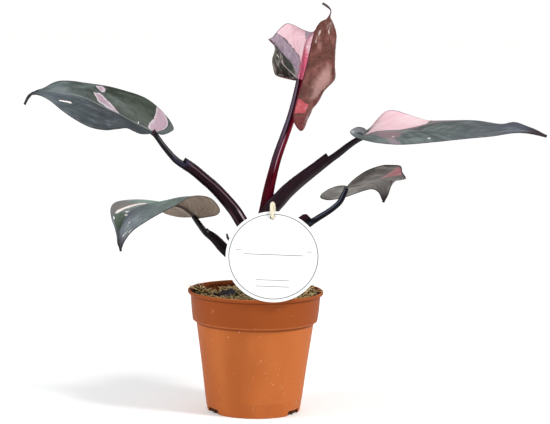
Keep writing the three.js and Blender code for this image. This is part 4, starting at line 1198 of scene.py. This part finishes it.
def leafSkin(name, look, seed, dents):
    pen = Pen(name)
    times, plus, step, mix = pen.times, pen.plus, pen.step, pen.mix
    along, across, side = pen.fact("along"), pen.fact("across"), pen.fact("side")
    ribGap, rimGap, toTip = pen.fact("ribGap"), pen.fact("rimGap"), pen.fact("toTip")
    point = pen.place()
    calm = look.get("smooth", False)
    # side veins leave the midrib and sweep on towards the tip
    swept = pen.calc("SUBTRACT", along, times(pen.calc("POWER", across, blade["sweepBend"]), blade["sweep"]))
    half = pen.calc("MULTIPLY_ADD", side, 3.1, seed)
    flow = pen.join(times(swept, 0.12), times(across, 0.9), half)
    streaks, fineFlow = pen.noise(flow, 2.2, 5, 0.65), pen.noise(flow, 9, 4, 0.65)
    lengthwise = pen.noise(pen.join(times(along, 0.03), times(across, 3.2), half), 1.7, 4, 0.6)
    mottle, clouds = pen.noise(point, 150, 4, 0.6), pen.noise(point, 32, 3, 0.5)
    tone, weights = 0.0, look.get("weights", (0.4, 0.2, 0.4, 0.0))
    for pattern, weight in zip((streaks, mottle, clouds, lengthwise), weights):
        tone = pen.calc("MULTIPLY_ADD", pattern, weight, tone)
    share = step(tone, 0.38, 0.62)
    # each half has its own pair of colours; on leaf 1 the difference is painted sheen
    colour = mix(step(side, -0.05, 0.05), mix(share, *look["right"]), mix(share, *look["left"]))
    farShare = times(step(toTip, 0.3, 0.9, 0, 0.85), step(streaks, 0.3, 0.7, 0.5, 1))
    colour = mix(farShare, colour, look["far"])
    # painted sheen: pale bands that run the length of the blade, broken up by the side veins
    bands = plus(times(lengthwise, 0.6), times(clouds if calm else streaks, 0.4))
    sheenFrom = look.get("sheenFrom", -1)
    sheenShare = times(step(bands, 0.48, 0.66, 0, look["sheenShare"]), step(toTip, sheenFrom, sheenFrom + 0.3))
    colour = mix(sheenShare, colour, look["sheenColour"])
    # side veins, and the finer ones between them
    bent = plus(pen.calc("DIVIDE", swept, blade["veinGap"]), times(pen.noise(flow, 1.5, 1), 0.25))
    veins = step(pen.calc("PINGPONG", bent, 0.5), 0.0, 0.09, 1, 0)
    netting = step(pen.calc("PINGPONG", times(bent, 5), 0.5), 0.0, 0.2, 1, 0)
    clear = times(step(rimGap, 0.5, 5), step(fineFlow, 0.35, 0.6, 0.3, 1))
    veined = look.get("veined", 0.2 if calm else 1.0)
    colour = mix(times(times(veins, clear), 0.4 * veined), colour, look["vein"])
    colour = mix(times(netting, 0.12 * veined), colour, look["vein"])
    ragged = pen.calc("SUBTRACT", plus(times(fineFlow, 0.55), times(pen.noise(point, 380, 3), 0.45)), 0.5)

    def patch(fact, reach, low, high):
        return step(pen.calc("MULTIPLY_ADD", ragged, reach, pen.fact(fact)), low, high)

    deep = times(patch("shade", 14, -2.2, 2.2), 0.85)
    if not look.get("deepOver"):
        colour = mix(deep, colour, look["shade"])
    # painted light: a lighter patch over leaf 3's shaded lobe, and painted highlights on leaf 5's back
    if "paintedLight" in look:
        soft = pen.calc("MULTIPLY_ADD", pen.calc("SUBTRACT", mottle, 0.5), 7, pen.fact("paintedLight"))
        colour = mix(step(soft, -2.2, 5, 0, look["paintedLightShare"]), colour, look["paintedLight"])
    tinted = mix(step(fineFlow, 0.35, 0.65, 0, 0.45), look["tint"], colour)
    colour = mix(times(patch("tint", 14, -1.6, 1.6), 0.9), colour, tinted)
    # pale patches, with a darker line where they meet the green
    blushed, near = patch("blush", 5.5, -0.5, -0.15), patch("blush", 5.5, -1.3, -0.5)
    colour = mix(times(near, 0.5), colour, look["rim"])
    pale = mix(step(plus(times(streaks, 0.5), times(clouds, 0.5)), 0.36, 0.64), *look["blush"])
    pale = mix(times(plus(netting, veins), 0.12), pale, look["blush"][0])
    pale = mix(step(mottle, 0.55, 0.75, 0, 0.3), pale, look.get("edge", "f7e4e6"))
    if "edge" in look:
        pale = mix(patch("blush", 9, 0.2, 2.6), look["edge"], pale)
    colour = mix(blushed, colour, pale)
    if look.get("deepOver"):
        colour = mix(deep, colour, look["shade"])
    # white specks; on leaf 5 they are painted glints and highlight streaks
    speckedAndGlinted = times(step(pen.fact("speckAndGlint"), -0.4, 0.0), step(side, -0.05, 0.05, *look.get("speckAndGlintSides", (1, 1))))
    colour = mix(speckedAndGlinted, colour, "f1e6e2")
    # the midrib, the rim and the hard tip
    ribWide = pen.calc("MULTIPLY_ADD", toTip, -look.get("ribTaper", 0.7), 1.25 * look.get("ribReach", 1))
    ribWide = pen.calc("MAXIMUM", ribWide, 0.5)
    onRib = step(pen.calc("SUBTRACT", ribGap, ribWide), -0.5, 0.3, look.get("ribShare", 0.8), 0)
    colour = mix(onRib, colour, look["rib"])
    colour = mix(step(rimGap, look["rimWide"] * 0.45, look["rimWide"], 0.9, 0), colour, look["rim"])
    colour = mix(step(toTip, 0.84, 0.96), colour, look["end"])
    height = plus(times(veins, -0.7 * veined), times(netting, -0.25 * veined))
    height = plus(height, plus(times(pen.noise(point, 900, 2), 0.25), times(mottle, dents * 3)))
    relief = pen.bump(height, 0.00022, 0.8)
    relief = pen.bump(plus(clouds, times(lengthwise, 0.8)), 0.003 * dents, 0.9, relief)
    gloss = look["gloss"]
    rough = plus(step(tone, 0.3, 0.7, gloss - 0.06, gloss + 0.08), step(rimGap, 0.6, 1.6, 0.4, 0))
    return pen.done(colour, rough, relief, IOR=1.45, Specular_IOR_Level=look.get("shine", 0.35))


def makeLeaf(number):
    node = f"leaf_{number}"
    look = leafSkins[node]
    dents = 1.0 if number == 5 else 0.3
    skins = [leafSkin(f"leaf{number}Upper", look["upper"], number * 5.7, dents),
             leafSkin(f"leaf{number}Under", look["under"], number * 5.7 + 2, dents)]
    piece = leafMesh(f"leaf{number}", leaves[node], skins)
    return keep(piece, "leaf_young" if number == 5 else "leaf", node)


for number in range(1, 6):
    makeLeaf(number)
print("leaves: five blades")


# leaf stalks: sizes are rows of [place, radius, height of the sheath's wings]

stalks = {
    "petiole_1": {
        "face": [0.68, 0, 0.73], "end": 0.68, "lean": (3.2, 4.5),
        "path": [[-3, -3, 153], [-9, -4, 161], [-15.5, -5, 171.5], [-21.5, -6, 181], [-31, -7, 192.5],
                 [-40, -8, 202], [-49, -9, 209.8], [-58.5, -10, 217.6], [-67.4, -10, 223],
                 [-72.6, -11, 226.6], [-77.6, -11, 231.6], [-84.6, -12, 240], [-89, -12, 246],
                 [-94, -12.8, 252.4]],
        "size": [[0, 4.4, 5], [0.1, 4.2, 7.4], [0.3, 4, 6.7], [0.5, 3.7, 5.9], [0.64, 3.6, 5.8],
                 [0.68, 3.5, 6.2], [0.687, 3.4, 2.9], [0.76, 3.1, 2.6], [0.84, 2.8, 2.3], [0.92, 2.6, 2.1],
                 [0.97, 2.6, 2.1], [1, 3.6, 2.4]],
    },
    "petiole_2": {
        "face": [0.66, 0, 0.75],
        "path": [[-4, -4, 125.5], [-13.5, -5, 132.5], [-25.3, -5, 142.1], [-31.6, -5, 147.8],
                 [-38.3, -5, 155.4], [-45, -5, 161.2], [-48.7, -5, 165.2], [-52.6, -5, 170.3],
                 [-57, -5.2, 176.4]],
        "size": [[0, 4.4, 4.4], [0.15, 4, 7], [0.35, 3.7, 6.4], [0.55, 3.4, 5.4], [0.68, 3.2, 4.2],
                 [0.75, 3.1, 3.2], [0.765, 3, 3.8], [0.775, 2.9, 2.4], [0.88, 2.6, 2.2], [1, 2.4, 1.9]],
    },
    "petiole_3": {
        "face": [-0.62, 0, 0.78], "end": 0.695, "lean": (2.6, -0.5),
        "path": [[3, -1, 167.5], [9, -1, 177.5], [15.3, -1.5, 186], [21.5, -2, 192.3], [27, -2, 198.2],
                 [36, -1, 206], [45, 0, 213.5], [54, 1, 220.8], [62.5, 2, 227.5], [71.5, 3, 234],
                 [80.5, 4, 241.3], [87.5, 5, 246.2], [93.5, 5, 249.6]],
        "size": [[0, 7.2, 4.6], [0.07, 7.2, 7], [0.15, 6.8, 7.7], [0.27, 5.5, 7.4], [0.42, 4.4, 7.3],
                 [0.6, 4, 6.2], [0.695, 3.7, 6.2], [0.71, 3.5, 2.9], [0.82, 3.2, 2.7], [1, 2.7, 2.1]],
    },
    "petiole_4": {
        "face": [-0.5, 0, 0.86],
        "path": [[7, -2, 148], [25.5, -1, 157.5], [39, 0, 165.5], [48, 0, 171.5], [56.5, 1, 177],
                 [65.5, 1, 183], [73.5, 1, 190], [77.5, 2, 197], [80, 2, 203.4]],
        "size": [[0, 4.4, 4.4], [0.12, 4.2, 8.5], [0.3, 3.9, 8.6], [0.49, 3.4, 9.4], [0.52, 3.2, 8],
                 [0.535, 3, 2.5], [0.75, 2.7, 2.2], [0.9, 2.6, 2.3], [1, 2.3, 1.9]],
    },
    "petiole_5": {
        "face": [-0.8, -0.6, 0.1],
        "path": [[4, -3, 163.9], [5.8, -2, 175.5], [8, -1, 187], [9.9, 1, 198.5], [12.5, 2, 211],
                 [16.5, 4, 227.5], [20.1, 5, 239], [24.1, 6, 250.5], [28.8, 7, 265], [32, 7.5, 278],
                 [34.1, 8, 288.5], [36, 8.4, 300]],
        "size": [[0, 5.6, 4.4], [0.2, 5.2, 4.2], [0.4, 4.3, 3.6], [0.75, 3.8, 3.2], [0.9, 3.4, 2.8],
                 [1, 2.9, 2.3]],
    },
}
stalkMesh = {"stations": 150, "around": 64, "wingTurns": (0.34, 0.66)}


def between(a, b, share):
    return a + (b - a) * share


def stalkSection(radius, wing):
    # body below, two wings above, and the groove between them
    opening = min(max((wing / radius - 0.9) / 0.8, 0), 1)
    tip, side = radius * between(0.6, 0.9, opening), radius * between(0.93, 0.98, opening)
    tipIn, sideIn = between(0.4 * radius, tip - 1.2, opening), between(0.24 * radius, side - 1.6, opening)
    level = between(wing - 0.16 * radius, 0.4 * wing, opening)
    floor = between(wing - 0.25 * radius, -0.2 * radius, opening)
    outer = [[0.42 * radius, -0.9 * radius], [0.8 * radius, -0.6 * radius], [radius, 0], [side, 0.45 * wing],
             [(tip + side) / 2 + 0.02 * radius, 0.75 * wing], [tip, wing]]
    inner = [[tipIn, wing - 0.05], [sideIn, level], [0.4 * sideIn, between(floor, level, 0.1)]]
    flip = lambda points: [[-x, y] for x, y in reversed(points)]
    ring = [[0, -radius], *outer, *inner, [0, floor], *flip(inner), *flip(outer)]
    line = Route([p + [0] for p in ring], closed=True)
    return line.at(np.arange(stalkMesh["around"]) / stalkMesh["around"])[:, :2]


# rows of lines, most of them painted highlights and sheen and a few the stalk's own bands: place at the foot
# and at the blade, from the groove (0) round to the back (0.5), half width, where it begins and ends along
# the stalk, colour, strength
stalkSkins = {
    "petiole_1": {
        "body": ("14070c", "220c14"), "blotch": "341320", "wing": "2a1016", "under": "16131b",
        "far": "17171d", "sheath": 0.68,
        "lines": [(0.25, 0.27, 0.018, 0.15, 0.675, "8d747d", 0.6),
                  (0.264, 0.264, 0.022, -0.1, 0.26, "bfb2b8", 0.8),
                  (0.4, 0.4, 0.02, -0.1, 0.3, "6d3f4c", 0.6),
                  (0.19, 0.19, 0.045, 0.74, 0.97, "6d6d74", 0.6),
                  (0.24, 0.24, 0.12, 0.64, 0.8, "33354a", 0.7),
                  (0.26, 0.26, 0.05, 0.64, 0.69, "77666e", 0.5),
                  (0.31, 0.31, 0.2, 0.975, 1.1, "6b4651", 0.7)],
    },
    "petiole_2": {
        "body": ("0e080a", "1a0f13"), "blotch": "241419", "wing": "140c0f", "under": "1b1719",
        "far": "151416", "sheath": 0.77,
        "lines": [(0.34, 0.34, 0.07, 0.76, 1.1, "45434a", 0.6),
                  (0.2, 0.2, 0.05, 0.72, 0.77, "857f84", 0.7)],
    },
    "petiole_3": {
        "body": ("1f1418", "2b1c22"), "blotch": "33212a", "wing": "26161e", "under": "39323a",
        "far": "1f1c22", "sheath": 0.7,
        "lines": [(0.41, 0.42, 0.05, -0.1, 0.69, "4a4248", 0.5),
                  (0.36, 0.36, 0.08, 0.7, 1.1, "44434d", 0.5)],
    },
    "petiole_4": {
        "body": ("0c0a10", "17131a"), "blotch": "221722", "wing": "431a22", "under": "12121a",
        "far": "10101a", "sheath": 0.53,
        "lines": [(0.18, 0.18, 0.05, 0.54, 1.1, "646d85", 0.7), (0.4, 0.4, 0.04, 0.1, 0.54, "3d4050", 0.5)],
    },
}


def stalkCore(pen):
    # streaks run along the stalk and close on themselves round it
    angle = pen.times(pen.fact("turn"), 2 * math.pi)
    flow = pen.join(pen.calc("COSINE", angle), pen.calc("SINE", angle), pen.times(pen.fact("along"), 0.012))
    return flow, pen.noise(flow, 3.2, 4, 0.6), pen.noise(pen.place(), 90, 3, 0.6)


def stalkEnd(pen, colour, flow, streaks, blotches):
    # pale specks, fine relief and gloss are the same on all stalks
    times, step = pen.times, pen.step
    specked = times(step(pen.cells(pen.place(), 520), 0.08, 0.16, 1, 0), step(blotches, 0.5, 0.6, 0, 0.35))
    colour = pen.mix(specked, colour, "574450")
    height = pen.plus(times(pen.noise(flow, 14, 3), 0.7), pen.noise(pen.place(), 1200, 2))
    relief = pen.bump(height, 0.00012, 0.6)
    return pen.done(colour, step(streaks, 0.3, 0.7, 0.2, 0.3), relief, IOR=1.45, Specular_IOR_Level=0.1)


def youngStalkSkin(name):
    pen = Pen(name)
    times, step, mix = pen.times, pen.step, pen.mix
    flow, streaks, blotches = stalkCore(pen)
    turn, reach = pen.fact("turn"), pen.fact("reach")
    colour = mix(step(streaks, 0.32, 0.66), "2a010a", "5c0317")
    colour = mix(step(reach, 0.12, 0.3, 0.5, 0), colour, "14040a")
    # painted sheen: the side turned to the light is clouded mauve, with a thin painted highlight line beside
    # it
    mauveSheen = times(step(turn, 0.6, 0.64, 1, 0), step(reach, 0.34, 0.5, 0, 0.9))
    colour = mix(times(step(turn, 0.7, 0.76), step(reach, 0.45, 0.7, 0, 0.75)), colour, "8c0c30")
    mauve = mix(step(reach, 0.5, 0.72), "453440", "716274")
    colour = mix(times(mauveSheen, step(streaks, 0.3, 0.6, 0.7, 1)), colour, mauve)
    colour = mix(times(step(turn, 0.44, 0.5, 0.7, 0), step(reach, 0.4, 0.6)), colour, "201420")
    edge = pen.line(turn, 0.645, 0.015, 0.04)
    colour = mix(times(edge, step(reach, 0.56, 0.66, 0, 0.85)), colour, "1c0a14")
    highlightLine = times(step(reach, 0.36, 0.46), step(reach, 0.58, 0.66, 1, 0))
    highlightLine = times(pen.line(turn, 0.675, 0.008, 0.025), times(highlightLine, step(streaks, 0.3, 0.55, 0.4, 0.8)))
    return stalkEnd(pen, mix(highlightLine, colour, "b58fa0"), flow, streaks, blotches)


def stalkSkin(name, look):
    pen = Pen(name)
    times, step, mix = pen.times, pen.step, pen.mix
    flow, streaks, blotches = stalkCore(pen)
    reach = pen.fact("reach")
    height = pen.calc("ABSOLUTE", pen.calc("SUBTRACT", pen.fact("turn"), 0.5))
    colour = mix(step(streaks, 0.32, 0.68), *look["body"])
    colour = mix(step(blotches, 0.52, 0.72, 0, 0.5), colour, look["blotch"])
    onSheath = step(reach, look["sheath"] - 0.01, look["sheath"] + 0.01, 1, 0)
    colour = mix(times(step(height, 0.2, 0.34, 0.8, 0), onSheath), colour, look["wing"])
    colour = mix(step(height, 0.38, 0.44, 0, 0.6), colour, look["under"])
    colour = mix(step(reach, 0.6, 0.9, 0, 0.7), colour, look["far"])
    # most lines are painted highlights and sheen along the stalk
    for low, high, wide, start, end, tint, most in look["lines"]:
        mark = pen.calc("MULTIPLY_ADD", reach, high - low, low)
        span = times(step(reach, start - 0.01, start + 0.04), step(reach, end - 0.04, end, 1, 0))
        drawn = times(pen.line(height, mark, wide * 0.3, wide, most), span)
        colour = mix(times(drawn, step(streaks, 0.3, 0.6, 0.55, 1)), colour, tint)
    return stalkEnd(pen, colour, flow, streaks, blotches)


def leanSheath(piece, path, stations, end, lean):
    # draws the sheath's two free corners out along the stalk
    around = stalkMesh["around"]
    turn = np.arange(around) / around
    share = smooth(stations, end - 0.03, end) * (stations <= end + 1e-6)
    corners = zip(lean, stalkMesh["wingTurns"])
    wings = sum(reach * (1 - smooth(np.abs(turn - at), 0.05, 0.13)) for reach, at in corners)
    shift = path.tangent(stations)[:, None] * (share[:, None] * wings[None])[..., None] * mm
    for vertex, step in zip(piece.data.vertices, shift.reshape(-1, 3)):
        vertex.co += Vector(step)


def makeStalk(name, look):
    young = name not in stalkSkins
    skin = youngStalkSkin("stalkWine") if young else stalkSkin(f"stalkBurgundy{name[-1]}", stalkSkins[name])
    # a ring at each row of sizes keeps the sheath's end sharp
    marks = [row[0] for row in look["size"][1:-1]]
    stations = np.unique(np.round(np.concatenate([np.linspace(0, 1, stalkMesh["stations"]), marks]), 4))
    sections = [stalkSection(*size) for size in tableAt(look["size"], stations)]
    path = Route(look["path"])
    label = name.replace("petiole_", "leafStalk")
    piece = tubeMesh(label, path, stations, look["face"], sections, skin, {"reach": stations})
    if "lean" in look:
        leanSheath(piece, path, stations, look["end"], look["lean"])
    return keep(piece, "petiole_young" if young else "petiole", name)


for name, look in stalks.items():
    makeStalk(name, look)
print("leaf stalks: five, with their sheaths")


# stem and bud scale

stem = {
    "main_stem": {
        "name": "mainStem", "slot": "stem", "stations": 90, "around": 40, "flatten": 1.0, "soft": 0.004,
        "skin": ("stemBark", "1e1512", "3f2e24"),
        "path": [[-1.5, -4, 90], [-1, -4, 108], [0, -4, 122], [1.5, -4, 136], [2.5, -3.5, 150],
                 [3.5, -3, 163.5]],
        "radii": [[0, 6.4], [0.3, 6.7], [0.32, 7.2], [0.34, 7.3], [0.36, 6.7], [0.55, 6.5], [0.57, 6.9],
                  [0.59, 7.0], [0.61, 6.4], [0.8, 6.2], [1, 5.6]],
    },
    "bud_scale": {
        "name": "budScale", "slot": "bud_scale", "stations": 40, "around": 20, "flatten": 0.7, "soft": 0.02,
        "skin": ("driedScale", "17100e", "3a2822"),
        "path": [[-1.5, -10.5, 131], [-6, -13, 138], [-14, -13.5, 146.5], [-21, -12.5, 153],
                 [-25.2, -11.8, 157.2], [-26.7, -11, 161.6]],
        "radii": [[0, 1.6], [0.5, 1.4], [0.93, 1.1], [1, 0.8]],
    },
}


def stemSkin(name, dark, pale):
    pen = Pen(name)
    bands = pen.noise(pen.join(0.0, 0.0, pen.times(pen.fact("along"), 0.35)), 2.0, 4, 0.7)
    patches = pen.noise(pen.place((1, 1, 0.4)), 160, 4, 0.6)
    colour = pen.mix(pen.step(patches, 0.3, 0.7), dark, pale)
    colour = pen.mix(pen.step(bands, 0.55, 0.7, 0, 0.5), colour, "6e5a48")
    return pen.done(colour, 0.5, pen.bump(pen.plus(patches, bands), 0.0004, 0.7))


def makeShoot(node, look):
    stations = np.linspace(0, 1, look["stations"])
    radii = tableAt(look["radii"], stations, look["soft"])[:, 0]
    sections = [ringSection(radius, look["around"], look["flatten"]) for radius in radii]
    path, skin = Route(look["path"]), stemSkin(*look["skin"])
    return keep(tubeMesh(look["name"], path, stations, [0.1, -1, 0.1], sections, skin), look["slot"], node)


for node, look in stem.items():
    makeShoot(node, look)
print("stem and bud scale")


# tag and cord

tag = {
    "radius": 42, "thick": 0.8, "bevel": 0.12, "lean": 26, "roll": -1.1, "centre": [15.5, -43.7, 146.3],
    "hole": (-1.3, 36.5), "holeRadius": 2.4, "around": 144, "holeAround": 48, "sharpFrom": 35,
    "card": ("ededec", "f5f5f4"), "ink": "56575a", "ring": 39.1, "ringWidth": 0.5,
    "rules": ((5.1, -33.5, -28.8, 0.32), (5.1, 28.8, 33.5, 0.32), (1.4, -26, 26, 0.4),
              (-22, -14.5, 14.5, 0.36), (-27.8, -14.5, 14.5, 0.36)),
}
lean = math.radians(tag["lean"])
tagUp, tagOut = np.array([0, math.sin(lean), math.cos(lean)]), np.array([0, -math.cos(lean), math.sin(lean)])


def onTag(across, up, out):
    return np.array(tag["centre"]) + np.array([1.0, 0, 0]) * across + tagUp * up + tagOut * out


def tagCard(look):
    # a ring line, and ruled lines as rows of height, start, end and width
    pen = Pen("whiteCard")
    across, up = pen.fact("cardAcross"), pen.fact("cardUp")
    ink = pen.line(pen.hypot(across, up), look["ring"], look["ringWidth"] * 0.5, look["ringWidth"])
    for height, start, end, width in look["rules"]:
        level = pen.line(up, height, width * 0.5, width)
        half = (end - start) / 2
        inside = pen.line(across, (start + end) / 2, half - 0.1, half + 0.1)
        ink = pen.calc("MAXIMUM", ink, pen.times(level, inside))
    fibres = pen.noise(pen.place(), 700, 4, 0.6)
    colour = pen.mix(pen.step(fibres, 0.3, 0.7), *look["card"])
    outward = pen.step(pen.fact("cardFront"), 0.4, 0.6)
    colour = pen.mix(pen.times(pen.times(ink, outward), 0.95), colour, look["ink"])
    return pen.done(colour, 0.42, pen.bump(fibres, 0.00004, 0.5), IOR=1.48, Specular_IOR_Level=0.3)


def makeTag(look):
    # rings of corners round the card and round its hole, joined into walls and two flat faces
    half, bevel = look["thick"] / 2, look["bevel"]
    mesh = bmesh.new()

    def ringOf(middle, radius, count, out):
        angles = np.arange(count) / count * 2 * np.pi
        places = [(middle[0] + radius * math.cos(a), middle[1] + radius * math.sin(a)) for a in angles]
        return [mesh.verts.new(onTag(across, up, out)) for across, up in places]

    outer, inner = [], []
    for out, inset in ((-half, -bevel), (-half + bevel, 0), (half - bevel, 0), (half, -bevel)):
        outer.append(ringOf((0, 0), look["radius"] + inset, look["around"], out))
        inner.append(ringOf(look["hole"], look["holeRadius"] - inset, look["holeAround"], out))
    for k in range(len(outer) - 1):
        for i in range(look["around"]):
            j = (i + 1) % look["around"]
            mesh.faces.new([outer[k][i], outer[k][j], outer[k + 1][j], outer[k + 1][i]])
        for i in range(look["holeAround"]):
            j = (i + 1) % look["holeAround"]
            mesh.faces.new([inner[k][j], inner[k][i], inner[k + 1][i], inner[k + 1][j]])
    for k in (0, -1):
        rims = []
        for loop in (outer[k], inner[k]):
            rims += [mesh.edges.get([loop[i], loop[(i + 1) % len(loop)]]) for i in range(len(loop))]
        bmesh.ops.triangle_fill(mesh, use_beauty=True, use_dissolve=False, edges=rims)
    bmesh.ops.recalc_face_normals(mesh, faces=mesh.faces)
    mesh.verts.index_update()
    points = np.array([vertex.co for vertex in mesh.verts])
    faces = [[vertex.index for vertex in face.verts] for face in mesh.faces]
    mesh.free()
    offset, roll = points - np.array(look["centre"]), math.radians(look["roll"])
    across, up, out = offset[:, 0], offset @ tagUp, offset @ tagOut
    facts = {"cardAcross": across * math.cos(roll) + up * math.sin(roll),
             "cardUp": up * math.cos(roll) - across * math.sin(roll), "cardFront": (out > 0).astype(float)}
    card = makeObject("hangingTag", points, faces, [tagCard(look)], facts=facts)
    card.data.set_sharp_from_angle(angle=math.radians(look["sharpFrom"]))
    return keep(card, "tag_card", "tag")


cord = {
    "radius": 1.62, "strands": 3, "turns": 8, "knots": 120, "rings": 220, "around": 12, "yarnAway": 0.5,
    "yarnRadius": 0.52, "cotton": ("e6d9bb", "f6efdc"), "soiled": "c7b48c",
    "path": [(0, 0, 0), (-0.4, 0.9, 2), (-0.9, 4.5, 2.5), (-1, 9, 1), (-0.8, 13.2, -2.4), (0.2, 14.4, -5),
             (1, 11.5, -5.4), (1, 6, -3.9), (0.4, 1, -2.1)],
}


def cordCotton(look):
    pen = Pen("creamCotton")
    fuzz = pen.noise(pen.place(), 2600, 3, 0.7)
    colour = pen.mix(pen.step(fuzz, 0.3, 0.7), *look["cotton"])
    colour = pen.mix(pen.step(pen.noise(pen.place(), 420, 2), 0.55, 0.75, 0, 0.5), colour, look["soiled"])
    return pen.done(colour, 0.85, pen.bump(fuzz, 0.0002, 0.8), Sheen_Weight=0.3)


def cordTree(look):
    # twists round yarns along a closed line
    tree = Tree("twistedCord", {"Radius": "Float", "Strands": "Int", "Turns": "Int", "Finish": "Material"})
    make, given = tree.node, tree.given
    line = make("GeometryNodeMeshToCurve", {0: given("Geometry")})
    even = make("GeometryNodeResampleCurve", {"Curve": line.outputs[0], "Count": look["rings"]})
    share = make("GeometryNodeSplineParameter").outputs["Factor"]
    tilt = tree.calc("MULTIPLY", tree.calc("MULTIPLY", share, given("Turns")), 2 * math.pi)
    tilted = make("GeometryNodeSetCurveTilt", {"Curve": even.outputs[0], "Tilt": tilt})
    spot = make("GeometryNodeCurvePrimitiveCircle", {"Resolution": 3, "Radius": 1.0})
    away = tree.calc("MULTIPLY", given("Radius"), look["yarnAway"])
    small = make("GeometryNodeTransform", {"Geometry": spot.outputs[0], "Scale": away})
    dots = make("GeometryNodeCurveToPoints", {"Curve": small.outputs[0], "Count": given("Strands")},
                mode="COUNT")
    thick = tree.calc("MULTIPLY", given("Radius"), look["yarnRadius"])
    yarn = make("GeometryNodeCurvePrimitiveCircle", {"Resolution": look["around"], "Radius": thick})
    profile = make("GeometryNodeInstanceOnPoints", {"Points": dots.outputs[0], "Instance": yarn.outputs[0]})
    real = make("GeometryNodeRealizeInstances", {0: profile.outputs[0]})
    body = make("GeometryNodeCurveToMesh", {"Curve": tilted.outputs[0], "Profile Curve": real.outputs[0]})
    shaded = make("GeometryNodeSetShadeSmooth", {"Geometry": body.outputs[0], "Shade Smooth": True})
    finished = make("GeometryNodeSetMaterial", {"Geometry": shaded.outputs[0], "Material": given("Finish")})
    tree.end(finished.outputs[0])
    return tree


def makeCord(look):
    hole, knots = tag["hole"], look["knots"]
    line = Route([onTag(hole[0] + a, hole[1] + b, c) for a, b, c in look["path"]], closed=True)
    points = line.at(np.arange(knots) / knots)
    mesh = bpy.data.meshes.new("tagCord")
    mesh.from_pydata((points * mm).tolist(), [[i, (i + 1) % knots] for i in range(knots)], [])
    piece = bpy.data.objects.new("tagCord", mesh)
    scene.collection.objects.link(piece)
    cordTree(look).runOn(piece, {
        "Radius": look["radius"] * mm, "Strands": look["strands"], "Turns": look["turns"],
        "Finish": cordCotton(look)})
    return keep(piece, "tag_cord", "tag_cord")


makeTag(tag)
makeCord(cord)
print("tag and cord")
